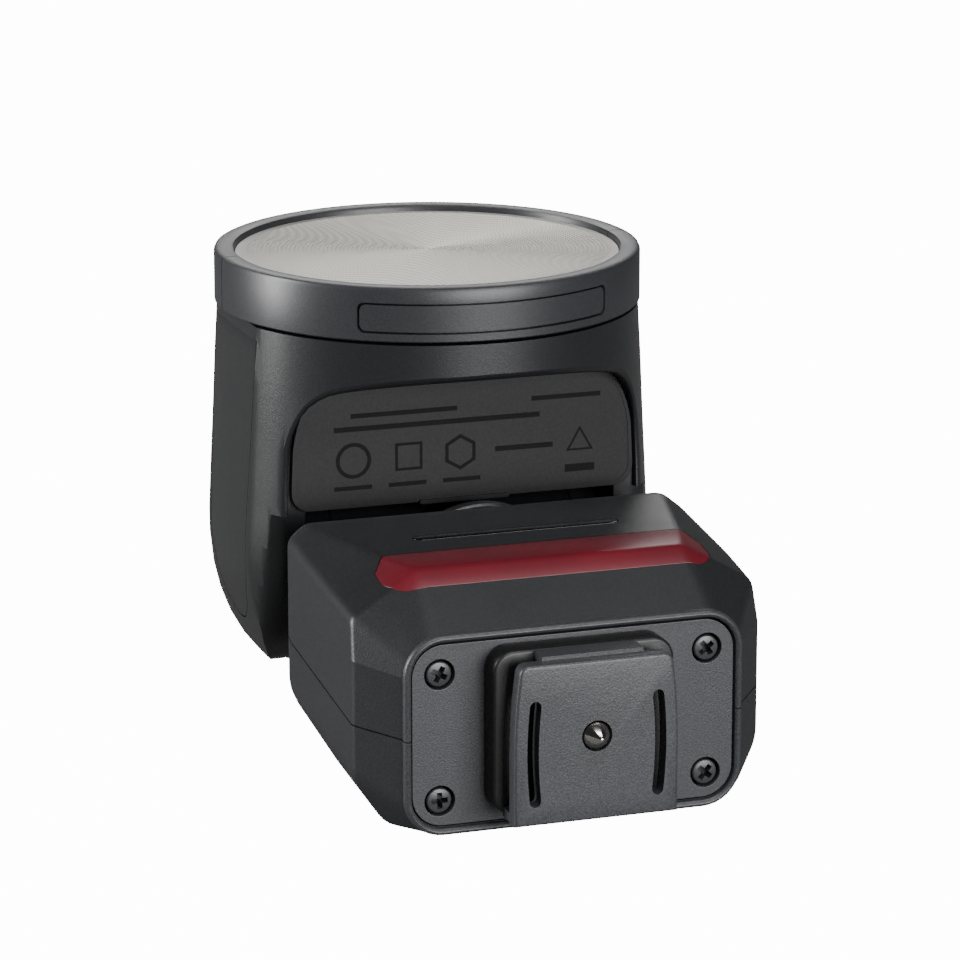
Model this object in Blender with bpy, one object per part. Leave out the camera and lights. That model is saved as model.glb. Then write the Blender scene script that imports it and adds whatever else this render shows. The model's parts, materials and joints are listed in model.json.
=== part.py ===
"""A compact speedlight flash with a round tilting and swivelling head.

The frame has +Z along the light, with the head facing straight ahead, and the
hot shoe foot faces -Y. Lengths below are in millimetres in a design frame whose
origin is the centre of the shoe contact, on the foot's outer face. One root
empty places that frame in the world.
"""

import math

import bmesh
import bpy
from mathutils import Matrix, Vector

MM = 0.001
GAP = 0.3                       # clearance between pieces that touch

# Foot: ISO 518 accessory shoe sizes
FOOT_HALF_WIDTH = 9.3
FOOT_TOP = 8.45
FOOT_BOTTOM = -9.43
FOOT_THICKNESS = 2.0
RAIL_GAP = 2.1                  # the camera's rails slide in here
PEDESTAL_HALF_WIDTH = 10.3
PEDESTAL_TOP = 9.0
STEM_HALF = 6.0
STEM_BACK = 10.5
NECK_HALF = 5.75                # the web between the rail channels
RAIL_STOP = 1.1                 # wall that closes the channels at the bottom
SLOT_X = 7.1
SLOT_WIDTH = 1.3
SLOT_Z = (-7.3, 4.45)

# Contact
PIN_RADIUS = 1.55
PIN_TIP = -1.6
PIN_NOSE = (0.35, 0.15)         # radius and height of the blunt point
PIN_SHOULDER = 0.2
PIN_BACK = 3.6
BORE_RADIUS = 2.6
BORE_END = 9.0
BUSH_RADIUS = 2.3
BUSH_REACH = (0.1, 8.7)
SPRING_RADIUS = 1.15
SPRING_WIRE = 0.3
SPRING_REACH = (4.1, 7.2)
SPRING_TURNS = 4

# Shoe plate
PLATE_Y = 7.25
PLATE_THICKNESS = 2.0
PLATE_HALF_WIDTH = 18.4
PLATE_TOP = 9.5
PLATE_BOTTOM = -10.8
PLATE_CORNER = 4.0
SCREW_X = 15.3
SCREW_Z = (6.2, -8.0)
SCREW_HEAD_RADIUS = 1.4
SCREW_HEAD_HEIGHT = 1.2
SCREW_SHANK_RADIUS = 0.75
SCREW_LENGTH = 3.6
SCREW_SINK = 0.15               # the heads sit this far below the plate's face
CROSS_HALF = (0.9, 0.2)
CROSS_DEPTH = 0.7
CROSS_TURNS = (20, 110)

# Body box
RIM_Y = 6.7
FAR_Y = 38.0
RIM_BOTTOM = -11.9
FRONT_Z = 15.9
WALL = 1.6
MOUTH_BACK = 10.2               # the plate's opening reaches back to here
REACH = 60.0                    # cutters run this far past what they cut
REAR_SLOPE = math.radians(6.75)  # the rear panel and the parting line rise at this angle
PARTING_Z = -0.9                # height of the parting line at the rim

# Sections of the body: y, front edge x, front z, side x, side top z, side low z, rear edge x
BODY_SECTIONS = (
    (RIM_Y, 16.2, 10.65, 19.4, 7.5, -8.8, 16.2),
    (9.4, 16.2, 12.4, 21.3, 8.6, -7.9, 18.4),
    (12.5, 15.8, 14.35, 23.5, 10.2, -6.4, 20.1),
    (15.0, 15.5, FRONT_Z, 23.5, 11.75, -6.1, 20.3),
    (21.0, 17.4, FRONT_Z, 23.5, 12.4, -5.4, 20.5),
    (35.0, 21.0, FRONT_Z, 23.5, 13.9, -3.6, 20.5),
    (37.0, 20.6, 15.5, 23.1, 13.5, -2.7, 20.0),
    (FAR_Y, 19.6, 14.6, 22.3, 12.6, -1.9, 18.9),
)

# Assist window in the front face
ASSIST_NEAR = 12.9
ASSIST_FAR = 21.0
ASSIST_HALF = 18.2
ASSIST_FLOOR = 12.3
LAMP_RADIUS = 1.5
LAMP_Z = (9.0, 11.9)

# Badge strip in the front face
BADGE_HALF = 12.0
BADGE_Y = (25.7, 27.3)
BADGE_DEPTH = 0.3

# Rear controls, in the plane of the rear panel
PANEL_Y = 22.0
PANEL_HALF = (17.0, 11.0)
PANEL_SINK = 0.9
PANEL_THICKNESS = 1.2
PANEL_OPENING = 2.2
WINDOW_THICKNESS = 0.9
DISPLAY_THICKNESS = 1.2
DIAL_AT = (8.6, -1.5)
DIAL_RADIUS = 7.4
DIAL_BORE = 3.9
DIAL_PROUD = 0.6                # these stand proud of the panel's face
DIAL_BACK = 1.5
BUTTON_RADIUS = 2.1
BUTTON_PROUD = 0.5
BUTTON_BACK = 2.4
CENTRE_PROUD = 0.7
KEY_CHAMFER = 0.3
BUTTONS = {"mode_button": (-13.9, -6.8), "power_button": (-8.4, -6.8), "test_button": (-2.9, -6.8)}
DISPLAY_AT = (-8.4, 4.4)
DISPLAY_HALF = (6.6, 5.0)

# Charging port
PORT_AT = (26.0, 7.4)           # y, z on the right side
PORT_HALF = (4.5, 1.6)
PORT_X = (17.5, 23.3)
PORT_WALL = 0.4
PORT_FLOOR = 18.5

# Insides of the body, as low and high corners
BATTERY = ((-19.0, 12.5, -2.4), (6.0, 31.6, 8.4))
BOARD = ((-17.5, 12.0 - PANEL_Y, 4.4), (17.5, 33.0 - PANEL_Y, 5.6))

# Neck and tilt hinge
HINGE_Y = 58.0
HINGE_Z = 4.8
BARREL_RADIUS = 10.9
BARREL_HALF = 18.2
NECK_RADIUS = 8.2
SHAFT_RADIUS = 6.7
SHAFT_LENGTH = 6.0
FLANGE_RADIUS = 11.0
FLANGE_HEIGHT = 2.0
FLANGE_SLOPE = 3.6
FLANGE_LIFT = 0.35              # the flange clears the body's far face
RETAINER_RADIUS = 8.9
RETAINER_BACK = (4.6, 2.4)
WIRE_WAY_RADIUS = 3.0
WIRE_WAY_START = 12.0
PIVOT_RADIUS = 3.0
PIVOT_INNER = 10.5              # pivot pins reach from here out into the arms
PIVOT_OUTER = 21.5
WASHER_RADIUS = 7.0
WASHER_DEPTH = 1.6
WASHER_PROUD = 0.1

# Head
RING_RADIUS = 24.7
RING_INNER = 22.5
LIP_INNER = 21.4
RING_TOP = 42.1
RING_BOTTOM = 35.9
LIP_TOP = 38.9
LENS_TOP = 41.45
SHELL_TOP = 35.55
SHELL_RADIUS = 24.5
HEAD_FLOOR = 14.5
ARM_INNER = 18.7
ARM_HALF = 12.3                 # half the arm's depth
ARM_BOTTOM = -6.0
POCKET_CEILING = 31.2

# Outline of the pocket under the head, from its side up to the middle of its ceiling
POCKET = ((20.8, 0), (20.8, 18.0), (20.6, 22.5), (20.0, 24.9), (19.3, 27.0), (18.2, 28.5), (15.9, 29.6),
          (10.6, 30.6), (0, POCKET_CEILING))
CHORD = 12.5                    # the pocket's flat, from the head's axis
CAVITY_RADIUS = 20.9
LOWER_RADIUS = 20.7
SIDE_FLAT = 0.94                # the covers' flats, as a share of the head's half-width

# Half-width of the head along X by height: it flares down the arms, then rounds in
HEAD_FLARE = (
    (SHELL_TOP, 24.5), (29.0, 24.9), (22.0, 25.2), (16.0, 25.6), (10.5, 25.9), (7.6, 25.85),
    (3.8, 25.4), (0.7, 24.6), (-2.1, 23.6), (-4.3, 22.4), (-5.6, 21.4), (ARM_BOTTOM, 20.6),
)
COVER_THICKNESS = 1.3
COVER_HALF = 9.4
COVER_BOTTOM = -1.4
COVER_SHOULDER = 10.0
COVER_INNER = 15.0              # the covers lie outside this
ARM_SHOULDER = 12.0
LABEL_OUTLINE = ((18.0, 14.8), (19.8, 15.4), (20.4, 17.2), (20.2, 22.3), (19.5, 24.6), (18.8, 26.6),
                 (17.6, 28.1), (15.6, 29.1))
LABEL_THICKNESS = 0.6

# Window panel in the ring
PANEL_ANGLE = math.radians(36)
PANEL_LOW = 37.1
PANEL_HIGH = 40.1
PANEL_DEPTH = (1.0, 0.25)       # back and face of the panel, in from the ring's outside

# Insides of the head
REFLECTOR_BASE = 31.0
REFLECTOR_DEPTH = 7.6
REFLECTOR_FLOOR = 3.0
REFLECTOR_WALL = 0.5
REFLECTOR_STEPS = 8
TUBE_RADIUS = 1.9
TUBE_HALF = 10.5
TUBE_Z = 36.0
CAPACITOR_RADIUS = 5.6
CAPACITOR_HALF = 15.0
CAPACITOR_AT = (8.0, 23.4)      # y from the head's axis, z
TRIGGER_BOARD = ((-14, -9.8, 17.2), (14, 1.6, 18.6))
LAMP_LENS_RADIUS = 2.2
LAMP_LENS_AT = (-6.0, 2.4)      # y from the head's axis, z
LAMP_LENS_Z = (33.0, 33.7)

MID_Y = (PIN_TIP + HINGE_Y + RING_RADIUS) / 2


# ---------------------------------------------------------------- helpers

def clear_scene():
    for thing in list(bpy.data.objects):
        bpy.data.objects.remove(thing, do_unlink=True)


def new_collection(name):
    collection = bpy.data.collections.new(name)
    bpy.context.scene.collection.children.link(collection)
    return collection


def material(name, colour, roughness, metallic=0.0):
    made = bpy.data.materials.get(name) or bpy.data.materials.new(name)
    made.use_nodes = True
    shader = made.node_tree.nodes["Principled BSDF"]
    shader.inputs["Base Color"].default_value = (*colour, 1)
    shader.inputs["Roughness"].default_value = roughness
    shader.inputs["Metallic"].default_value = metallic
    return made


def empty(name, parent, at=(0, 0, 0), turn=(0, 0, 0)):
    made = bpy.data.objects.new(name, None)
    made.location = Vector(at) * MM
    made.rotation_euler = turn
    made.parent = parent
    parts.objects.link(made)
    return made


def add_object(name, bm, look, parent, at=(0, 0, 0), turn=(0, 0, 0)):
    """Turn a bmesh drawn in millimetres into an object, as a part or, with no look, as a cutter."""
    bmesh.ops.recalc_face_normals(bm, faces=bm.faces)
    bmesh.ops.scale(bm, vec=(MM, MM, MM), verts=bm.verts)
    mesh = bpy.data.meshes.new(name)
    bm.to_mesh(mesh)
    bm.free()
    mesh.shade_smooth()
    mesh.set_sharp_from_angle(angle=math.radians(32))
    made = bpy.data.objects.new(name, mesh)
    made.location = Vector(at) * MM
    made.rotation_euler = turn
    made.parent = parent
    if look is None:
        made.hide_render = True
        made.display_type = "WIRE"
        cutters.objects.link(made)
    else:
        mesh.materials.append(look)
        parts.objects.link(made)
    return made


def boolean(target, other, operation="DIFFERENCE"):
    step = target.modifiers.new(operation.lower(), "BOOLEAN")
    step.operation = operation
    step.object = other
    return target


def box(low, high, corner=0.0, along=1, segments=3):
    """A box between two corners, with the four edges along one axis rounded."""
    bm = bmesh.new()
    bmesh.ops.create_cube(bm, size=1)
    size = [b - a for a, b in zip(low, high)]
    middle = [(a + b) / 2 for a, b in zip(low, high)]
    bmesh.ops.scale(bm, vec=size, verts=bm.verts)
    bmesh.ops.translate(bm, vec=middle, verts=bm.verts)
    if corner:
        edges = [e for e in bm.edges if abs((e.verts[0].co - e.verts[1].co)[along]) > size[along] / 2]
        bmesh.ops.bevel(bm, geom=edges, offset=corner, segments=segments, profile=0.5,
                        affect="EDGES", material=-1)
    return bm


def cylinder(radius, start, end, along="Z", segments=32, at=(0, 0)):
    """A cylinder from start to end on one axis; at gives its place on the other two axes."""
    bm = bmesh.new()
    bmesh.ops.create_cone(bm, cap_ends=True, segments=segments, radius1=radius, radius2=radius,
                          depth=end - start)
    middle = (start + end) / 2
    if along == "X":
        bmesh.ops.rotate(bm, matrix=Matrix.Rotation(math.radians(90), 3, "Y"), verts=bm.verts)
        shift = (middle, at[0], at[1])
    elif along == "Y":
        bmesh.ops.rotate(bm, matrix=Matrix.Rotation(math.radians(90), 3, "X"), verts=bm.verts)
        shift = (at[0], middle, at[1])
    else:
        shift = (at[0], at[1], middle)
    bmesh.ops.translate(bm, vec=shift, verts=bm.verts)
    return bm


def turned(profile, along="Z", segments=32, sweep=math.tau):
    """A solid of revolution: a closed outline of (radius, height) points, swept about an axis."""
    bm = bmesh.new()
    corners = [bm.verts.new((radius, 0, height)) for radius, height in profile]
    full = sweep == math.tau
    for a, b in zip(corners, corners[1:] + corners[:1]):
        if a.co.x > 0 or b.co.x > 0:
            bm.edges.new((a, b))
    drawn = [*corners, *bm.edges]
    if not full:
        drawn.append(bm.faces.new(corners))
    bmesh.ops.rotate(bm, cent=(0, 0, 0), matrix=Matrix.Rotation(-sweep / 2, 3, "Z"), verts=bm.verts)
    bmesh.ops.spin(bm, geom=drawn, cent=(0, 0, 0), axis=(0, 0, 1), angle=sweep, steps=segments,
                   use_merge=full)
    bmesh.ops.remove_doubles(bm, verts=bm.verts, dist=1e-4)
    if along == "Y":
        bmesh.ops.rotate(bm, matrix=Matrix.Rotation(math.radians(-90), 3, "X"), verts=bm.verts)
    elif along == "X":
        bmesh.ops.rotate(bm, matrix=Matrix.Rotation(math.radians(90), 3, "Y"), verts=bm.verts)
    return bm


def loft(rings):
    """A closed solid through rings of points, each ring with the same count."""
    bm = bmesh.new()
    loops = []
    for ring in rings:
        corners = [bm.verts.new(point) for point in ring]
        loops.append([bm.edges.new((a, b)) for a, b in zip(corners, corners[1:] + corners[:1])])
    for lower, upper in zip(loops, loops[1:]):
        bmesh.ops.bridge_loops(bm, edges=lower + upper)
    for loop in (loops[0], loops[-1]):
        bmesh.ops.contextual_create(bm, geom=loop)
    return bm


def prism(outline, start, end, along="Y"):
    """A flat outline of (u, v) points extruded along an axis: (x, z) along Y, (y, z) along X."""
    bm = bmesh.new()
    if along == "Y":
        corners = [bm.verts.new((u, start, v)) for u, v in outline]
        direction = (0, end - start, 0)
    else:
        corners = [bm.verts.new((start, u, v)) for u, v in outline]
        direction = (end - start, 0, 0)
    face = bm.faces.new(corners)
    grown = bmesh.ops.extrude_face_region(bm, geom=[face])
    moved = [item for item in grown["geom"] if isinstance(item, bmesh.types.BMVert)]
    bmesh.ops.translate(bm, vec=direction, verts=moved)
    return bm


def arc(centre, radii, start, end, steps):
    """Points along an ellipse's arc, angles in degrees."""
    points = []
    for step in range(steps + 1):
        angle = math.radians(start + (end - start) * step / steps)
        points.append((centre[0] + radii[0] * math.cos(angle), centre[1] + radii[1] * math.sin(angle)))
    return points


def coil(name, radius, wire, start, end, turns, look, parent):
    """A compression spring along Y."""
    count = turns * 10
    curve = bpy.data.curves.new(name, "CURVE")
    curve.dimensions = "3D"
    curve.bevel_depth = wire / 2 * MM
    curve.bevel_resolution = 1
    curve.use_fill_caps = True
    spline = curve.splines.new("POLY")
    spline.points.add(count)
    for index, point in enumerate(spline.points):
        angle = math.tau * turns * index / count
        y = start + (end - start) * index / count
        point.co = (radius * math.cos(angle) * MM, y * MM, radius * math.sin(angle) * MM, 1)
    made = bpy.data.objects.new(name, curve)
    made.data.materials.append(look)
    made.parent = parent
    parts.objects.link(made)
    return made


# ---------------------------------------------------------------- looks

def looks():
    return {
        "abs": material("textured_abs", (0.024, 0.025, 0.028), 0.5),
        "shoe": material("glass_filled_nylon", (0.07, 0.072, 0.08), 0.45),
        "satin": material("satin_black", (0.03, 0.031, 0.034), 0.38),
        "label": material("label_film", (0.045, 0.046, 0.048), 0.32),
        "red": material("red_acrylic", (0.16, 0.02, 0.03), 0.22),
        "gloss": material("gloss_black", (0.01, 0.01, 0.012), 0.12),
        "key": material("key_rubber", (0.03, 0.03, 0.032), 0.6),
        "lens": material("frosted_acrylic", (0.78, 0.77, 0.73), 0.25),
        "steel": material("plated_steel", (0.6, 0.6, 0.6), 0.25, 1.0),
        "screw": material("black_steel", (0.04, 0.04, 0.042), 0.35, 1.0),
        "bright": material("bright_aluminium", (0.85, 0.85, 0.86), 0.12, 1.0),
        "board": material("board", (0.02, 0.12, 0.06), 0.5),
        "cell": material("cell_wrap", (0.12, 0.14, 0.3), 0.4),
        "quartz": material("quartz", (0.8, 0.82, 0.85), 0.1),
        "acetal": material("acetal", (0.02, 0.02, 0.02), 0.35),
    }


# ---------------------------------------------------------------- body

def rear_z(y):
    return RIM_BOTTOM + (y - RIM_Y) * math.tan(REAR_SLOPE)


def body_ring(section, inset):
    y, front_x, front_z, side_x, side_top, side_low, rear_x = section
    half = ((front_x - inset / 2, front_z - inset), (side_x - inset, side_top - inset / 2),
            (side_x - inset, side_low + inset / 2), (rear_x - inset / 2, rear_z(y) + inset))
    right = [(x, y, z) for x, z in half]
    left = [(-x, y, z) for x, z in reversed(half)]
    return right + left


def body_solid():
    return loft([body_ring(section, 0) for section in BODY_SECTIONS])


def cavity_solid():
    inner = [section for section in BODY_SECTIONS if 9 < section[0] < 37]
    last = (FAR_Y - WALL, *inner[-1][1:])
    inner[-1] = last
    return loft([body_ring(section, WALL) for section in inner])


def parting_box(name, side):
    """A large box that covers all above (1) or below (-1) the parting line, past the gap."""
    low = (-REACH, -REACH, -GAP / 2 if side > 0 else -REACH)
    high = (REACH, REACH, REACH if side > 0 else GAP / 2)
    return add_object(name, box(low, high), None, root, at=(0, RIM_Y, PARTING_Z), turn=(REAR_SLOPE, 0, 0))


def make_shells(look):
    cavity = add_object("cut_body_cavity", cavity_solid(), None, root)
    mouth = add_object("cut_plate_mouth", box(
        (-PLATE_HALF_WIDTH - GAP, 0, PLATE_BOTTOM - GAP),
        (PLATE_HALF_WIDTH + GAP, MOUTH_BACK, PLATE_TOP + GAP), PLATE_CORNER), None, root)
    neck_hole = add_object("cut_neck_hole", cylinder(
        SHAFT_RADIUS + GAP, PANEL_Y, REACH, "Y", 32, (0, HINGE_Z)), None, root)
    for name, side in (("front_shell", 1), ("rear_shell", -1)):
        shell = add_object(name, body_solid(), look["abs"], root)
        boolean(shell, parting_box("cut_" + name, -side))
        boolean(shell, cavity)
        boolean(shell, mouth)
        boolean(shell, neck_hole)
    front, rear = bpy.data.objects["front_shell"], bpy.data.objects["rear_shell"]
    boolean(front, add_object("cut_assist", box(
        (-ASSIST_HALF - GAP, ASSIST_NEAR - GAP, 0),
        (ASSIST_HALF + GAP, ASSIST_FAR + GAP, REACH), 1.2, 2), None, root))
    boolean(front, add_object("cut_badge", box(
        (-BADGE_HALF - GAP, BADGE_Y[0] - GAP, FRONT_Z - BADGE_DEPTH - GAP),
        (BADGE_HALF + GAP, BADGE_Y[1] + GAP, REACH), 1.0, 2), None, root))
    y, z = PORT_AT
    boolean(front, add_object("cut_port", box(
        (PORT_X[0], y - PORT_HALF[0] - GAP, z - PORT_HALF[1] - GAP),
        (REACH, y + PORT_HALF[0] + GAP, z + PORT_HALF[1] + GAP), 1.5, 0), None, root))
    width, depth = PANEL_HALF
    boolean(rear, add_object("cut_panel", box(
        (-width - GAP, -depth - GAP, -WALL), (width + GAP, depth + GAP, PANEL_OPENING), 2.0, 2), None, panel))


def make_front_trim(look):
    window = add_object("assist_window", box(
        (-ASSIST_HALF, ASSIST_NEAR, ASSIST_FLOOR), (ASSIST_HALF, ASSIST_FAR, REACH), 1.0, 2),
        look["red"], root)
    outline = add_object("cut_assist_outline", body_solid(), None, root)
    boolean(window, outline, "INTERSECT")
    middle = (ASSIST_NEAR + ASSIST_FAR) / 2
    add_object("assist_lamp", cylinder(LAMP_RADIUS, *LAMP_Z, "Z", 16, (0, middle)), look["lens"], root)
    add_object("front_badge", box((-BADGE_HALF, BADGE_Y[0], FRONT_Z - BADGE_DEPTH),
                                  (BADGE_HALF, BADGE_Y[1], FRONT_Z), 0.75, 2), look["gloss"], root)


def make_shoe(look):
    plate = add_object("shoe_plate", box(
        (-PLATE_HALF_WIDTH, PLATE_Y, PLATE_BOTTOM),
        (PLATE_HALF_WIDTH, PLATE_Y + PLATE_THICKNESS, PLATE_TOP), PLATE_CORNER), look["shoe"], root)
    boolean(plate, add_object("cut_stem_hole", box(
        (-STEM_HALF - GAP, 0, -STEM_HALF - GAP), (STEM_HALF + GAP, REACH, STEM_HALF + GAP)), None, root))
    screw_profile = ((0, 0.0), (SCREW_HEAD_RADIUS, 0.0), (SCREW_HEAD_RADIUS, SCREW_HEAD_HEIGHT),
                     (SCREW_SHANK_RADIUS, SCREW_HEAD_HEIGHT), (SCREW_SHANK_RADIUS, SCREW_LENGTH),
                     (0, SCREW_LENGTH))
    half, narrow = CROSS_HALF
    face = PLATE_Y + SCREW_SINK
    count = 0
    for z in SCREW_Z:
        for x in (-SCREW_X, SCREW_X):
            count += 1
            boolean(plate, add_object(f"cut_screw_{count}", cylinder(
                SCREW_HEAD_RADIUS + GAP, 0, REACH, "Y", 20, (x, z)), None, root))
            screw = add_object(f"plate_screw_{count}", turned(screw_profile, "Y", 16),
                               look["screw"], root, at=(x, face, z))
            for turn in CROSS_TURNS:
                slot = box((-half, -1, -narrow), (half, CROSS_DEPTH, narrow))
                boolean(screw, add_object(f"cut_cross_{count}_{turn}", slot, None, root,
                                          at=(x, face, z), turn=(0, math.radians(turn), 0)))
    make_foot(look)


def make_foot(look):
    channel = FOOT_THICKNESS + RAIL_GAP
    foot = add_object("hot_shoe_foot", box(
        (-FOOT_HALF_WIDTH, 0, FOOT_BOTTOM), (FOOT_HALF_WIDTH, PLATE_Y - GAP, FOOT_TOP), 0.6),
        look["shoe"], root)
    boolean(foot, add_object("add_pedestal", box(
        (-PEDESTAL_HALF_WIDTH, channel, FOOT_BOTTOM),
        (PEDESTAL_HALF_WIDTH, PLATE_Y - GAP, PEDESTAL_TOP), 1.5), None, root), "UNION")
    boolean(foot, add_object("add_stem", box(
        (-STEM_HALF, channel, -STEM_HALF), (STEM_HALF, STEM_BACK, STEM_HALF)), None, root), "UNION")
    for name, side in (("left", -1), ("right", 1)):
        rail_x = sorted((side * NECK_HALF, side * REACH))
        boolean(foot, add_object("cut_rail_" + name, box(
            (rail_x[0], FOOT_THICKNESS, FOOT_BOTTOM + RAIL_STOP), (rail_x[1], channel, REACH)), None, root))
        boolean(foot, add_object("cut_slot_" + name, box(
            (side * SLOT_X - SLOT_WIDTH / 2, -1, SLOT_Z[0]),
            (side * SLOT_X + SLOT_WIDTH / 2, FOOT_THICKNESS + 1, SLOT_Z[1]), 0.6, 1, 2), None, root))
    boolean(foot, add_object("cut_contact_bore", cylinder(
        BORE_RADIUS, -1, BORE_END, "Y", 24), None, root))
    bore, (start, end) = PIN_RADIUS + 0.2, BUSH_REACH
    bush = ((bore, start), (BUSH_RADIUS, start), (BUSH_RADIUS, end), (bore, end))
    add_object("contact_bush", turned(bush, "Y", 24), look["acetal"], root)
    nose, blunt = PIN_NOSE
    pin = ((0, PIN_TIP), (nose, PIN_TIP + blunt), (PIN_RADIUS, PIN_SHOULDER), (PIN_RADIUS, PIN_BACK),
           (0, PIN_BACK))
    add_object("contact_pin", turned(pin, "Y", 24), look["steel"], contact)
    coil("contact_spring", SPRING_RADIUS, SPRING_WIRE, *SPRING_REACH, SPRING_TURNS, look["steel"], contact)


def make_insides(look):
    add_object("battery", box(*BATTERY, 1.5), look["cell"], root)
    add_object("main_board", box(*BOARD), look["board"], panel)
    y, z = PORT_AT
    port = add_object("charging_port", box(
        (PORT_X[0], y - PORT_HALF[0], z - PORT_HALF[1]), (PORT_X[1], y + PORT_HALF[0], z + PORT_HALF[1]),
        1.3, 0), look["steel"], root)
    half_y, half_z = (half - PORT_WALL for half in PORT_HALF)
    boolean(port, add_object("cut_port_mouth", box(
        (PORT_FLOOR, y - half_y, z - half_z), (REACH, y + half_y, z + half_z), 1.1, 0), None, root))


def key_profile(radius, face, proud):
    """A round key's section: it stands proud of the panel's face, with a chamfered edge."""
    back, top = face + BUTTON_BACK, face - proud
    return ((0, back), (radius, back), (radius, top + KEY_CHAMFER), (radius - KEY_CHAMFER, top), (0, top))


def make_controls(look):
    """The rear panel with its dial, keys and display. Local +Z points into the body."""
    width, depth = PANEL_HALF
    face = PANEL_SINK
    plate = add_object("control_panel", box(
        (-width, -depth, face), (width, depth, face + PANEL_THICKNESS), 1.8, 2), look["gloss"], panel)
    boolean(plate, add_object("cut_dial_hole", cylinder(
        DIAL_RADIUS + GAP, -1, WALL * 3, "Z", 32, DIAL_AT), None, panel))
    x, y = DISPLAY_AT
    half_x, half_y = DISPLAY_HALF
    boolean(plate, add_object("cut_display_hole", box(
        (x - half_x - GAP, y - half_y - GAP, -1),
        (x + half_x + GAP, y + half_y + GAP, WALL * 3)), None, panel))
    window_back = face + WINDOW_THICKNESS
    add_object("display_window", box((x - half_x, y - half_y, face), (x + half_x, y + half_y, window_back)),
               look["gloss"], panel)
    display_face = window_back + GAP
    display = box((x - half_x, y - half_y, display_face),
                  (x + half_x, y + half_y, display_face + DISPLAY_THICKNESS))
    add_object("display", display, look["lens"], panel)
    back, top = face + DIAL_BACK, face - DIAL_PROUD
    dial_rim = ((DIAL_BORE, back), (DIAL_BORE, top), (DIAL_RADIUS - KEY_CHAMFER, top),
                (DIAL_RADIUS, top + KEY_CHAMFER), (DIAL_RADIUS, back))
    add_object("dial", turned(dial_rim, "Z", 36), look["key"], dial_axis)
    button = key_profile(BUTTON_RADIUS, face, BUTTON_PROUD)
    for name, (x, y) in BUTTONS.items():
        boolean(plate, add_object("cut_" + name, cylinder(
            BUTTON_RADIUS + GAP, -1, WALL * 3, "Z", 24, (x, y)), None, panel))
        add_object(name, turned(button, "Z", 20), look["key"], button_axes[name])
    centre = key_profile(DIAL_BORE - GAP, face, CENTRE_PROUD)
    add_object("set_button", turned(centre, "Z", 24), look["key"], button_axes["set_button"])


# ---------------------------------------------------------------- neck

def make_neck(look):
    knuckle = add_object("neck_knuckle", cylinder(
        BARREL_RADIUS, -BARREL_HALF, BARREL_HALF, "X", 40), look["satin"], tilt_frame)
    near = FAR_Y + FLANGE_LIFT - HINGE_Y
    shaft_end = near - SHAFT_LENGTH
    profile = ((0, shaft_end), (SHAFT_RADIUS, shaft_end), (SHAFT_RADIUS, near), (FLANGE_RADIUS, near),
               (FLANGE_RADIUS, near + FLANGE_HEIGHT), (NECK_RADIUS, near + FLANGE_SLOPE),
               (NECK_RADIUS, -2), (0, -2))
    boolean(knuckle, add_object("add_neck", turned(profile, "Y", 32), None, tilt_frame), "UNION")
    boolean(knuckle, add_object("cut_pivot_bore", cylinder(
        PIVOT_RADIUS + GAP, -REACH, REACH, "X", 24), None, tilt_frame))
    boolean(knuckle, add_object("cut_wire_way", cylinder(
        WIRE_WAY_RADIUS, near - WIRE_WAY_START, 0, "Y", 20), None, tilt_frame))
    for name, side in (("left", -1), ("right", 1)):
        pocket = sorted((side * (BARREL_HALF - WASHER_DEPTH), side * REACH))
        boolean(knuckle, add_object("cut_washer_" + name, cylinder(
            WASHER_RADIUS + GAP, *pocket, "X", 28), None, tilt_frame))
        washer = sorted((side * (BARREL_HALF - WASHER_DEPTH + GAP), side * (BARREL_HALF + WASHER_PROUD)))
        ring = ((PIVOT_RADIUS + GAP, washer[0]), (WASHER_RADIUS, washer[0]), (WASHER_RADIUS, washer[1]),
                (PIVOT_RADIUS + GAP, washer[1]))
        add_object("tilt_washer_" + name, turned(ring, "X", 28), look["acetal"], tilt_frame)
        ends = sorted((side * PIVOT_INNER, side * PIVOT_OUTER))
        add_object("pivot_pin_" + name, cylinder(PIVOT_RADIUS, *ends, "X", 24), look["steel"], head)
    start, end = (near - back for back in RETAINER_BACK)
    retainer = ((SHAFT_RADIUS + GAP, start), (RETAINER_RADIUS, start), (RETAINER_RADIUS, end),
                (SHAFT_RADIUS + GAP, end))
    add_object("swivel_retainer", turned(retainer, "Y", 32), look["steel"], tilt_frame)


# ---------------------------------------------------------------- head

def head_ring(half_x, half_y, z, count=48):
    """The head's section: an ellipse whose left and right sides are cut flat for the covers."""
    flat = half_x * SIDE_FLAT
    ring = []
    for step in range(count):
        angle = math.tau * step / count
        x = max(-flat, min(flat, half_x * math.cos(angle)))
        ring.append((x, half_y * math.sin(angle), z))
    return ring


def head_solid(inset=0.0):
    return loft([head_ring(half_x - inset, SHELL_RADIUS - inset, z) for z, half_x in HEAD_FLARE])


def arm_outline(half, bottom, shoulder, top):
    """The arm seen from the side: straight sides, then an elliptical lower end."""
    end = arc((0, shoulder), (half, shoulder - bottom), 180, 360, 16)
    return [(-half, top), *end, (half, top)]


def to_hinge(outline):
    """Head outlines are drawn with heights above the shoe contact; the head frame is on the hinge."""
    return [(u, z - HINGE_Z) for u, z in outline]


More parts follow.
